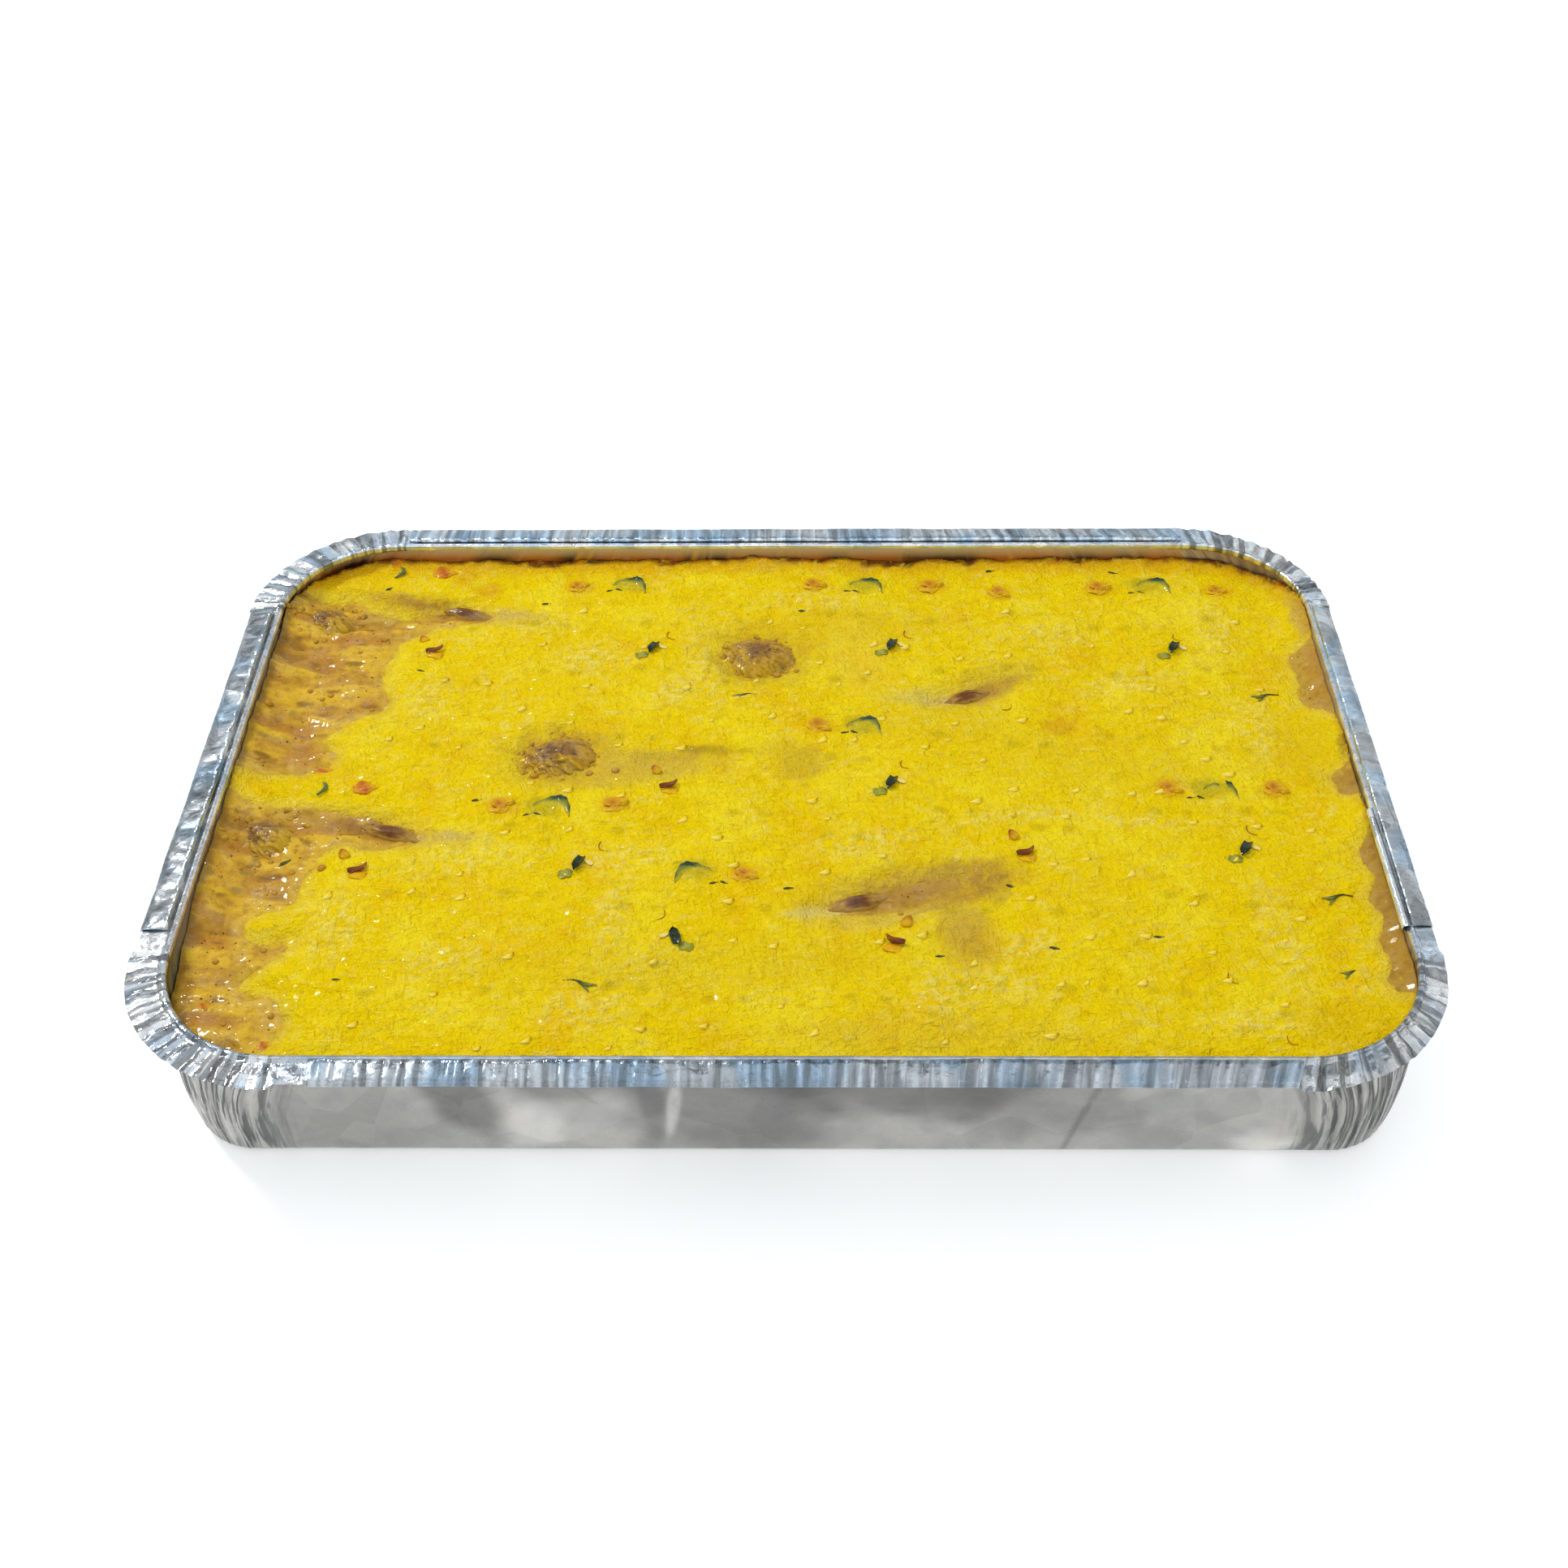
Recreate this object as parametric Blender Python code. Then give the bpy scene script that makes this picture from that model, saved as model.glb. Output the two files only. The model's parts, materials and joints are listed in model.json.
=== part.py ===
"""Foil tray meal: an oblong crimped foil tray, filled with a creamy meat filling under golden mash.

The tray stands on the plane z = 0 and is centred on the origin, with its long side along X and
the side that faces the viewer towards -Y. All sizes are in metres.
"""

import math

import bmesh
import bpy
from mathutils import Matrix, Vector, noise
from mathutils.bvhtree import BVHTree

MM = 0.001

# The tray, measured at the inner face of its wall
WALL_HEIGHT = 44 * MM
TOP_HALF_X = 148 * MM
TOP_HALF_Y = 98.5 * MM
TOP_RADIUS = 31 * MM
BASE_HALF_X = 146.2 * MM
BASE_HALF_Y = 93.4 * MM
BASE_RADIUS = 16.4 * MM
RADIUS_GROWTH = 3
WALL_KNEE = 31 * MM
FLOOR_BEND = 3 * MM
FOIL = 0.6 * MM
BEND_STEPS = 3
CORNER_STEPS = 12
LONG_SIDE_STEPS = 10
SHORT_SIDE_STEPS = 6
PLEAT_DEPTH = 0.45 * MM
CRIMP_HEIGHT = 0.35 * MM
# The wall stands this much further out at the right-hand end, where the rim is as much narrower
RIGHT_SHIFT = 3 * MM
RIM_ROOT = 1.2 * MM
RIM_REACH = 10 * MM

# The rim in section, as (outward from the wall's inner face, up from the wall's top)
FOLDED_RIM = (
    (0.0, -0.6),
    (0.3, 0.3),
    (1.0, 0.7),
    (1.9, 0.2),
    (3.2, 0.0),
    (8.0, 0.0),
    (8.2, 0.3),
    (3.0, 1.1),
    (2.9, 1.7),
    (6.0, 1.2),
    (8.8, 0.5),
    (9.2, 0.0),
    (8.7, -0.5),
    (1.2, -0.6),
    (0.6, -1.2),
)
CORNER_RIM = (
    (0.0, -0.6),
    (0.3, 0.3),
    (1.0, 0.6),
    (1.9, 0.3),
    (3.2, 0.1),
    (7.0, 0.05),
    (7.4, 0.15),
    (7.1, 0.35),
    (7.0, 0.6),
    (8.4, 0.5),
    (9.6, 0.2),
    (10.0, -0.2),
    (9.5, -0.5),
    (1.2, -0.6),
    (0.6, -1.2),
)
CRIMPED_FROM = 4
CRIMPED_TO = 12

# The food
REST_GAP = 0.3 * MM
LAYER_TOP = 30 * MM
SAUCE_LEVEL = 36.6 * MM
MASH_LEVEL = 38.4 * MM
MASH_HIGHEST = 39.9 * MM
GRID_CELL = 6.6 * MM
GRID_HALF_X = 151.9 * MM
GRID_HALF_Y = 102.3 * MM
CUT_ABOVE = 60 * MM
OUTLINE_STEPS = 3
SHOULDER = 5 * MM
SHOULDER_DROP = 1.0 * MM
# Relief of the mash and of the bare filling: length and height of each kind of wave
MASH_SWELL = (34 * MM, 0.9 * MM)
MASH_CRAG = (11 * MM, 0.7 * MM)
SAUCE_RIDGE = (26 * MM, 9 * MM, 0.8 * MM)
SAUCE_LUMP = (13 * MM, 0.5 * MM)
# The food creeps up both end walls, but not in the front left corner
CLIMB_REACH = 15 * MM
CLIMB_HEIGHT = 4.0 * MM
SAUCE_CLIMB = 1.2
LEFT_CLIMB_NONE = -72 * MM
LEFT_CLIMB_FULL = -48 * MM

# Where the mash leaves the filling bare: the corners of each gap, in millimetres
POOLS = {
    "upper_left": (
        (-160, 77), (-138, 80), (-128, 79), (-120, 74), (-111, 73), (-101, 76), (-88, 73),
        (-93, 70), (-104, 67), (-113, 60), (-116, 44), (-113, 33), (-121, 26), (-128, 18),
        (-123, 11), (-130, 6), (-160, 7),
    ),
    "lower_left": (
        (-160, -9), (-140, -10), (-126, -10), (-114, -12), (-104, -15), (-94, -20), (-104, -24),
        (-119, -25), (-123, -38), (-126, -46), (-134, -50), (-133, -57), (-122, -58), (-129, -67),
        (-132, -72), (-122, -78), (-119, -86), (-128, -94), (-160, -96),
    ),
    "upper_right": ((160, 56), (146, 54), (144.2, 49), (144.8, 40), (144, 32), (148.5, 26), (160, 21)),
    "middle_right": ((160, 5), (147, 2), (146.8, -3), (148, -8), (160, -11)),
    "lower_right": (
        (160, -20), (149.5, -24), (147.2, -32), (147.8, -40), (146.5, -46), (147.5, -51),
        (146.3, -58), (146.2, -67), (145.2, -72), (148, -76), (160, -77),
    ),
    "crack_behind": ((41, 33.5), (46, 37), (53, 39), (60, 40), (57, 35.5), (50, 33.5)),
    "crack_ahead": (
        (9, -46), (15, -42), (24, -40), (36, -36), (44, -36), (38, -42), (28, -46), (18, -47.5),
    ),
}

# Pieces of meat that stand in the food: centre, half sizes and turn about Z
MEAT_LUMPS = {
    "meat_lump_1": ((-8, 53, 35.7), (10.2, 8.6, 4.4), -12),
    "meat_lump_2": ((-62, 10, 35.7), (10.0, 8.4, 4.4), 14),
    "meat_lump_3": ((-136.5, 70, 34.6), (8.6, 7.0, 4.2), -8),
    "meat_lump_4": ((-136.0, -20, 34.6), (8.8, 7.2, 4.2), 10),
}
BEEF_STRIPS = {
    "beef_strip_1": ((-95, 74.5, 36.2), (9.0, 2.4, 1.9), -16),
    "beef_strip_2": ((51, 36.5, 36.2), (7.5, 2.4, 1.9), 19),
    "beef_strip_3": ((-103, -18.5, 36.2), (9.0, 2.4, 1.9), -17),
    "beef_strip_4": ((19, -43.5, 36.2), (8.5, 2.5, 1.9), 17),
}
# The meat with the detail of its mesh and how rough it is
MEAT_KINDS = ((MEAT_LUMPS, 3, 0.28), (BEEF_STRIPS, 2, 0.2))
MEAT_GRAIN = 1.9
MEAT_SEED = 0.37

# Small toppings fused to the mash: (x, y, turn) in millimetres and degrees
HERB_FLAKES = (
    (-39, 56, 70), (30, 57, 70), (109, 55, 65), (28, -2, 70), (-53, -32, 72), (116, -27, 64),
    (-27, -57, 110),
)
HERB_SPRIGS = ((131, 35, 12), (134, -44, 10), (-49, -72, -14), (-12, 35, 12))
LEAVES = (
    (-48, 86, -24), (23, 86, -24), (107, 85, -22), (21, 22, -24), (-64, -11, -20), (112, -4, -22),
    (-23, -35, 24),
)
TOASTED_CURLS = ((-102, 54, 22), (-31, -4, 20), (62, -29, 22), (-109, -35, 20), (27, -60, -20))
TOASTED_TIPS = ((-106, 61, -50), (-35, 3, -50), (59, -22, -50), (-114, -29, -50), (30, -53, 50))
PEPPER_BITS = ((-105, 93, 10), (-113, -2, 15))


def clear_scene():
    """Remove what the startup scene holds."""
    for obj in list(bpy.data.objects):
        bpy.data.objects.remove(obj, do_unlink=True)


def material(name, colour, roughness, metallic=0.0):
    """A plain Principled material."""
    made = bpy.data.materials.new(name)
    made.use_nodes = True
    shader = made.node_tree.nodes["Principled BSDF"]
    shader.inputs["Base Color"].default_value = (*colour, 1.0)
    shader.inputs["Roughness"].default_value = roughness
    shader.inputs["Metallic"].default_value = metallic
    return made


def add_object(name, mesh, finish=None, helper=False):
    """Link a mesh as an object. A helper is a cutter, and isn't part of the model."""
    obj = bpy.data.objects.new(name, mesh)
    bpy.context.scene.collection.objects.link(obj)
    if finish:
        mesh.materials.append(finish)
    if helper:
        obj.hide_render = True
        obj.display_type = "WIRE"
    return obj


def to_mesh(bm, name):
    """Write a bmesh with its faces turned outwards as a mesh."""
    bmesh.ops.recalc_face_normals(bm, faces=bm.faces)
    mesh = bpy.data.meshes.new(name)
    bm.to_mesh(mesh)
    bm.free()
    return mesh


def stations():
    """Places round a rounded rectangle, as (share of x run, share of y run, angle, turn in corner).

    The last value runs from 0 to 1 along a corner and is None on a straight side.
    """
    places = []
    quarter = math.pi / 2
    sides = (
        (1, 0, SHORT_SIDE_STEPS),
        (0, 1, LONG_SIDE_STEPS),
        (-1, 0, SHORT_SIDE_STEPS),
        (0, -1, LONG_SIDE_STEPS),
    )
    corners = ((1, 1), (-1, 1), (-1, -1), (1, -1))
    for index, (side_x, side_y, steps) in enumerate(sides):
        angle = index * quarter
        for step in range(1, steps):
            run = 2 * step / steps - 1
            places.append((side_x - side_y * run, side_y + side_x * run, angle, None))
        corner_x, corner_y = corners[index]
        for step in range(CORNER_STEPS + 1):
            share = step / CORNER_STEPS
            places.append((corner_x, corner_y, angle + share * quarter, share))
    return places


def wall_size(height):
    """Half sizes and corner radius of the wall's inner face at a height."""
    share = min(max(height / WALL_HEIGHT, 0.0), 1.0)
    half_x = BASE_HALF_X + (TOP_HALF_X - BASE_HALF_X) * share
    half_y = BASE_HALF_Y + (TOP_HALF_Y - BASE_HALF_Y) * share
    radius = BASE_RADIUS + (TOP_RADIUS - BASE_RADIUS) * share**RADIUS_GROWTH
    return half_x, half_y, radius


def body_point(place, outward, height, shift):
    """The point at a station, outward from the wall, with the right-hand end moved out."""
    run_x, run_y, angle, _ = place
    half_x, half_y, radius = wall_size(height)
    if run_x > 0:
        half_x += shift
    reach = radius + outward
    return Vector((
        run_x * (half_x - radius) + reach * math.cos(angle),
        run_y * (half_y - radius) + reach * math.sin(angle),
        height,
    ))


def wall_point(place, outward, height):
    """The point at a station, outward from the wall's inner face, at a height.

    Past its root the rim runs out to the same edge at both ends of the tray.
    """
    if outward <= RIM_ROOT:
        return body_point(place, outward, height, RIGHT_SHIFT)
    root = body_point(place, RIM_ROOT, height, RIGHT_SHIFT)
    edge = body_point(place, RIM_REACH, height, 0.0)
    return root.lerp(edge, (outward - RIM_ROOT) / (RIM_REACH - RIM_ROOT))


def loft(rings, name):
    """A closed body through rings of points, with a flat face across the first and the last."""
    bm = bmesh.new()
    made = [[bm.verts.new(point) for point in ring] for ring in rings]
    count = len(made[0])
    for lower, upper in zip(made, made[1:]):
        for i in range(count):
            j = (i + 1) % count
            bm.faces.new((lower[i], lower[j], upper[j], upper[i]))
    bm.faces.new(made[0][::-1])
    bm.faces.new(made[-1])
    return to_mesh(bm, name)


def floor_bend(radius, centre_height):
    """The bend between floor and wall, from the floor up, as (outward, height)."""
    for step in range(BEND_STEPS + 1):
        angle = math.pi / 2 * (step / BEND_STEPS - 1)
        yield -FLOOR_BEND + radius * math.cos(angle), centre_height + radius * math.sin(angle)


def flute(place, index):
    """How far the pleat at a corner's station stands out, from -1 to 1."""
    turn = place[3]
    if turn is None or turn in (0, 1):
        return 0.0
    return 1.0 if index % 2 else -1.0


def tray_mesh():
    """The foil tray as one thin folded sheet: floor, pleated wall and crimped rim."""
    places = stations()
    centre_height = FOIL + FLOOR_BEND
    inner = [*floor_bend(FLOOR_BEND, centre_height), (0.0, WALL_KNEE)]
    outer = [(FOIL, WALL_KNEE), *reversed(list(floor_bend(FLOOR_BEND + FOIL, centre_height)))]
    rings = []

    def pleated(outward, height):
        depth = PLEAT_DEPTH * min(max((height - centre_height) / (WALL_KNEE - centre_height), 0.0), 1.0)
        return [wall_point(p, outward + depth * flute(p, i), height) for i, p in enumerate(places)]

    rings += [pleated(*step) for step in inner]
    for step, (folded, crimped) in enumerate(zip(FOLDED_RIM, CORNER_RIM)):
        wave = CRIMP_HEIGHT if CRIMPED_FROM <= step <= CRIMPED_TO else 0.0
        wall_share = PLEAT_DEPTH if step in (0, len(FOLDED_RIM) - 1) else 0.0
        ring = []
        for i, place in enumerate(places):
            outward, up = (folded if place[3] is None else crimped)
            swing = flute(place, i)
            point = wall_point(place, outward * MM + wall_share * swing, WALL_HEIGHT)
            point.z += up * MM + wave * swing
            ring.append(point)
        rings.append(ring)
    rings += [pleated(*step) for step in outer]
    return loft(rings, "foil_tray")


def cavity_mesh(name):
    """The room inside the tray, held clear of its floor, wall and pleats."""
    places = stations()
    steps = list(floor_bend(FLOOR_BEND - REST_GAP, FOIL + FLOOR_BEND))
    steps += [(-REST_GAP, height) for height in (WALL_KNEE, WALL_HEIGHT, CUT_ABOVE)]
    rings = []
    for outward, height in steps:
        ring = []
        for place in places:
            inset = 0.0 if place[3] is None else PLEAT_DEPTH + REST_GAP
            ring.append(wall_point(place, outward - inset, height))
        rings.append(ring)
    return loft(rings, name)


def smooth_outline(corners):
    """A closed Catmull-Rom curve through corners given in millimetres."""
    points = [Vector(corner) * MM for corner in corners]
    count = len(points)
    outline = []
    for i in range(count):
        before, start, end, after = (points[(i + k) % count] for k in (-1, 0, 1, 2))
        for step in range(OUTLINE_STEPS):
            t = step / OUTLINE_STEPS
            outline.append(0.5 * (
                2 * start
                + (end - before) * t
                + (2 * before - 5 * start + 4 * end - after) * t**2
                + (3 * start - before - 3 * end + after) * t**3
            ))
    return outline


def inset_outline(outline, distance):
    """The outline moved inwards along the bisector at each of its points."""
    area = sum(a.x * b.y - a.y * b.x for a, b in zip(outline, outline[1:] + outline[:1]))
    side = 1 if area > 0 else -1
    count = len(outline)
    moved = []
    for i, point in enumerate(outline):
        along = (outline[(i + 1) % count] - outline[i - 1]).normalized()
        moved.append(point + side * distance * Vector((-along.y, along.x)))
    return moved


def prism(name, outline, bottom, top):
    """An upright cutter with the given outline."""
    bm = bmesh.new()
    low = [bm.verts.new((p.x, p.y, bottom)) for p in outline]
    face = bm.faces.new(low)
    lifted = bmesh.ops.extrude_face_region(bm, geom=[face])["geom"]
    high = [v for v in lifted if isinstance(v, bmesh.types.BMVert)]
    bmesh.ops.translate(bm, verts=high, vec=(0, 0, top - bottom))
    return add_object(name, to_mesh(bm, name), helper=True)


def outline_distance(x, y, outline):
    """Distance from a point to the nearest edge of an outline."""
    nearest = 1.0
    point = Vector((x, y))
    for start, end in zip(outline, outline[1:] + outline[:1]):
        edge = end - start
        share = min(max((point - start).dot(edge) / edge.length_squared, 0.0), 1.0)
        nearest = min(nearest, (point - start - share * edge).length)
    return nearest


def climb(x, y):
    """How far the food has crept up the end walls."""
    wall = TOP_HALF_X + (RIGHT_SHIFT if x > 0 else 0.0)
    share = min(max(1 - (wall - abs(x)) / CLIMB_REACH, 0.0), 1.0)
    height = CLIMB_HEIGHT * share**2
    if x < 0:
        full = (y - LEFT_CLIMB_NONE) / (LEFT_CLIMB_FULL - LEFT_CLIMB_NONE)
        height *= min(max(full, 0.0), 1.0)
    return height


def wave(x, y, level, size):
    """Smooth noise over the plan, at a level of its own and with waves of a given size."""
    return noise.noise(Vector((x, y, level)) / size)


def mash_height(x, y, outlines):
    """Height of the mash: slow swells and small crags, rounded down towards each gap."""
    height = MASH_LEVEL
    height += MASH_SWELL[1] * wave(x, y, 0.0, MASH_SWELL[0])
    height += MASH_CRAG[1] * wave(x, y, 5 * MM, MASH_CRAG[0])
    gap = min(outline_distance(x, y, outline) for outline in outlines)
    height -= SHOULDER_DROP * max(0.0, 1 - gap / SHOULDER) ** 2
    return min(height, MASH_HIGHEST) + climb(x, y)


def sauce_height(x, y):
    """Height of the bare filling, which lies in ridges and hollows that run across the tray."""
    across, back, ridge_height = SAUCE_RIDGE
    height = SAUCE_LEVEL + ridge_height * noise.noise(Vector((x / across, y / back, 3.0)))
    height += SAUCE_LUMP[1] * wave(x, y, 9 * MM, SAUCE_LUMP[0])
    return height + SAUCE_CLIMB * climb(x, y)


def relief_block(name, height_at, bottom):
    """A block whose top follows a height function on a square grid."""
    columns = round(2 * GRID_HALF_X / GRID_CELL)
    rows = round(2 * GRID_HALF_Y / GRID_CELL)
    bm = bmesh.new()
    bmesh.ops.create_grid(bm, x_segments=columns, y_segments=rows, size=1.0)
    for vert in bm.verts:
        x, y = vert.co.x * GRID_HALF_X, vert.co.y * GRID_HALF_Y
        vert.co = (x, y, height_at(x, y))
    top = BVHTree.FromBMesh(bm)
    rim = [edge for edge in bm.edges if edge.is_boundary]
    lowered = bmesh.ops.extrude_edge_only(bm, edges=rim)["geom"]
    for vert in (v for v in lowered if isinstance(v, bmesh.types.BMVert)):
        vert.co.z = bottom
    bmesh.ops.contextual_create(bm, geom=[e for e in lowered if isinstance(e, bmesh.types.BMEdge)])
    return to_mesh(bm, name), top


def boolean(obj, operation, cutter):
    """Apply a Boolean with an object or a whole collection.

    The manifold solver is used because the exact one drops the mash at some of these cuts.
    """
    modifier = obj.modifiers.new(operation.lower(), "BOOLEAN")
    modifier.operation = operation
    modifier.solver = "MANIFOLD"
    if isinstance(cutter, bpy.types.Collection):
        modifier.operand_type = "COLLECTION"
        modifier.collection = cutter
    else:
        modifier.object = cutter
    bpy.context.view_layer.update()
    graph = bpy.context.evaluated_depsgraph_get()
    cut = bpy.data.meshes.new_from_object(obj.evaluated_get(graph))
    obj.modifiers.clear()
    obj.data = cut


def meat_mesh(name, centre, half_sizes, turn, detail, roughness, grow=0.0):
    """A rough rounded piece of meat. A grown copy is the cutter that makes its bed."""
    bm = bmesh.new()
    bmesh.ops.create_icosphere(bm, subdivisions=detail, radius=1.0)
    seed = Vector((centre[0], centre[1], 0.0)) * MEAT_SEED
    for vert in bm.verts:
        bump = 1 + roughness * noise.noise(vert.co * MEAT_GRAIN + seed)
        vert.co = Vector(
            axis * (half * MM * bump + grow) for axis, half in zip(vert.co, half_sizes)
        )
    place = Matrix.Translation(Vector(centre) * MM) @ Matrix.Rotation(math.radians(turn), 4, "Z")
    bm.transform(place)
    return to_mesh(bm, name)


def blade(bm, outline, place, thickness, lift):
    """A thin wavy leaf: the outline fanned from its middle on both faces alike.

    Args:
        outline: plan of the blade in millimetres, round its own origin.
        place: where its middle lies, with its turn.
        thickness: thickness at the rim, in millimetres.
        lift: rise of each rim point in millimetres, repeated in turn.
    """
    count = len(outline)
    tops, bottoms = [], []
    for i, (x, y) in enumerate(outline):
        rise = lift[i % len(lift)]
        tops.append(bm.verts.new(place @ (Vector((x, y, rise + thickness / 2)) * MM)))
        bottoms.append(bm.verts.new(place @ (Vector((x, y, rise - thickness / 2)) * MM)))
    middle_top = bm.verts.new(place @ (Vector((0, 0, thickness * 0.8)) * MM))
    middle_bottom = bm.verts.new(place @ (Vector((0, 0, -thickness * 0.8)) * MM))
    for i in range(count):
        j = (i + 1) % count
        bm.faces.new((tops[i], tops[j], middle_top))
        bm.faces.new((bottoms[j], bottoms[i], middle_bottom))
        bm.faces.new((tops[i], bottoms[i], bottoms[j], tops[j]))


def oval(half_x, half_y, count, point=0.0):
    """An oval plan with one end drawn out to a point."""
    plan = []
    for i in range(count):
        angle = 2 * math.pi * i / count
        x, y = math.cos(angle), math.sin(angle)
        plan.append((half_x * x * (1 + point * max(x, 0.0)), half_y * y * (1 - 0.5 * point * max(x, 0.0))))
    return plan


# Plan, thickness and rim lift of each kind of small topping, in millimetres
TOPPING_KINDS = (
    (HERB_FLAKES, oval(3.4, 1.5, 6), 1.4, (0.5, 0.1, -0.2)),
    (HERB_SPRIGS, oval(5.2, 0.8, 6, point=0.4), 1.3, (0.3, 0.0)),
    (LEAVES, oval(5.4, 2.4, 8, point=0.3), 1.4, (0.1, 0.4, -0.1, 0.2)),
    (TOASTED_CURLS, oval(3.0, 1.3, 6), 2.0, (0.6, 0.2, -0.2)),
    (TOASTED_TIPS, oval(2.0, 1.0, 5, point=0.5), 1.8, (0.6, 0.0)),
    (PEPPER_BITS, oval(3.0, 1.8, 6), 1.6, (0.3, 0.0)),
)


def scatter_toppings(surface):
    """Every small topping as its own solid, sunk halfway into the mash."""
    group = bpy.data.collections.new("small_toppings")
    bpy.context.scene.collection.children.link(group)
    for kind, (places, plan, thickness, lift) in enumerate(TOPPING_KINDS):
        for index, (x, y, turn) in enumerate(places):
            hit = surface.ray_cast(Vector((x * MM, y * MM, CUT_ABOVE)), Vector((0, 0, -1)))
            place = Matrix.Translation(hit[0]) @ Matrix.Rotation(math.radians(turn), 4, "Z")
            bm = bmesh.new()
            blade(bm, plan, place, thickness, lift)
            name = f"topping_{kind}_{index}"
            group.objects.link(bpy.data.objects.new(name, to_mesh(bm, name)))
    return group


def remove_group(group):
    """Delete a collection with its objects."""
    for obj in list(group.objects):
        bpy.data.objects.remove(obj, do_unlink=True)
    bpy.data.collections.remove(group)


def meat_beds():
    """Grown copies of the meat, which cut the beds that it lies in."""
    group = bpy.data.collections.new("meat_beds")
    bpy.context.scene.collection.children.link(group)
    for pieces, detail, rough in MEAT_KINDS:
        for name, (centre, half_sizes, turn) in pieces.items():
            mesh = meat_mesh(f"{name}_bed", centre, half_sizes, turn, detail, rough, grow=REST_GAP)
            group.objects.link(bpy.data.objects.new(f"{name}_bed", mesh))
    return group


def build_tray():
    """The foil tray."""
    foil = material("foil", (0.78, 0.79, 0.80), 0.32, 1.0)
    add_object("foil_tray", tray_mesh(), foil)


def build_filling(beds):
    """The creamy filling, flat under the mash and risen in the gaps that the mash leaves."""
    sauce = material("creamy_sauce", (0.56, 0.33, 0.06), 0.3)
    mesh, _ = relief_block("creamy_filling", sauce_height, FOIL / 2)
    filling = add_object("creamy_filling", mesh, sauce)
    room = add_object("filling_room", cavity_mesh("filling_room"), helper=True)
    corners = [Vector((sx * 0.17, sy * 0.12)) for sx, sy in ((-1, -1), (1, -1), (1, 1), (-1, 1))]
    above = prism("above_filling", corners, LAYER_TOP, CUT_ABOVE)
    for name, pool in POOLS.items():
        outline = inset_outline(smooth_outline(pool), REST_GAP)
        well = prism(f"{name}_well", outline, LAYER_TOP / 2, CUT_ABOVE * 1.2)
        boolean(above, "DIFFERENCE", well)
        bpy.data.objects.remove(well, do_unlink=True)
    boolean(filling, "INTERSECT", room)
    boolean(filling, "DIFFERENCE", above)
    boolean(filling, "DIFFERENCE", beds)
    for helper in (room, above):
        bpy.data.objects.remove(helper, do_unlink=True)


def build_topping(beds):
    """The golden mash, one body with the herbs and toasted bits that are fused to it."""
    mash = material("golden_mash", (0.76, 0.53, 0.01), 0.45)
    outlines = [smooth_outline(pool) for pool in POOLS.values()]
    mesh, surface = relief_block(
        "potato_topping", lambda x, y: mash_height(x, y, outlines), LAYER_TOP + REST_GAP
    )
    topping = add_object("potato_topping", mesh, mash)
    room = add_object("topping_room", cavity_mesh("topping_room"), helper=True)
    boolean(topping, "INTERSECT", room)
    bpy.data.objects.remove(room, do_unlink=True)
    for index, outline in enumerate(outlines):
        gap = prism(f"gap_{index}", outline, LAYER_TOP / 2, CUT_ABOVE)
        boolean(topping, "DIFFERENCE", gap)
        bpy.data.objects.remove(gap, do_unlink=True)
    boolean(topping, "DIFFERENCE", beds)
    toppings = scatter_toppings(surface)
    boolean(topping, "UNION", toppings)
    remove_group(toppings)


def build_meat():
    """The lumps and strips of meat, each one its own solid."""
    browned = material("browned_meat", (0.30, 0.16, 0.05), 0.4)
    wet = material("wet_beef", (0.16, 0.06, 0.02), 0.2)
    for (pieces, detail, rough), finish in zip(MEAT_KINDS, (browned, wet)):
        for name, (centre, half_sizes, turn) in pieces.items():
            add_object(name, meat_mesh(name, centre, half_sizes, turn, detail, rough), finish)


def main():
    """Build every piece of the meal."""
    clear_scene()
    build_tray()
    beds = meat_beds()
    build_filling(beds)
    build_topping(beds)
    remove_group(beds)
    build_meat()


main()
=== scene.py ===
"""Foil tray meal: a creamy meat bake under golden mash, in an oblong crimped foil tray.

Everything is in metres, in the frame's own axes. The tray stands on z = 0 with its long side along X,
and the camera looks at its -Y side from above.
"""

import json
import logging
import math
from collections.abc import Callable, Iterator, Sequence
from contextlib import contextmanager
from dataclasses import dataclass, field
from enum import Enum

import bpy
import numpy as np
from mathutils import Matrix, Vector

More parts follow.
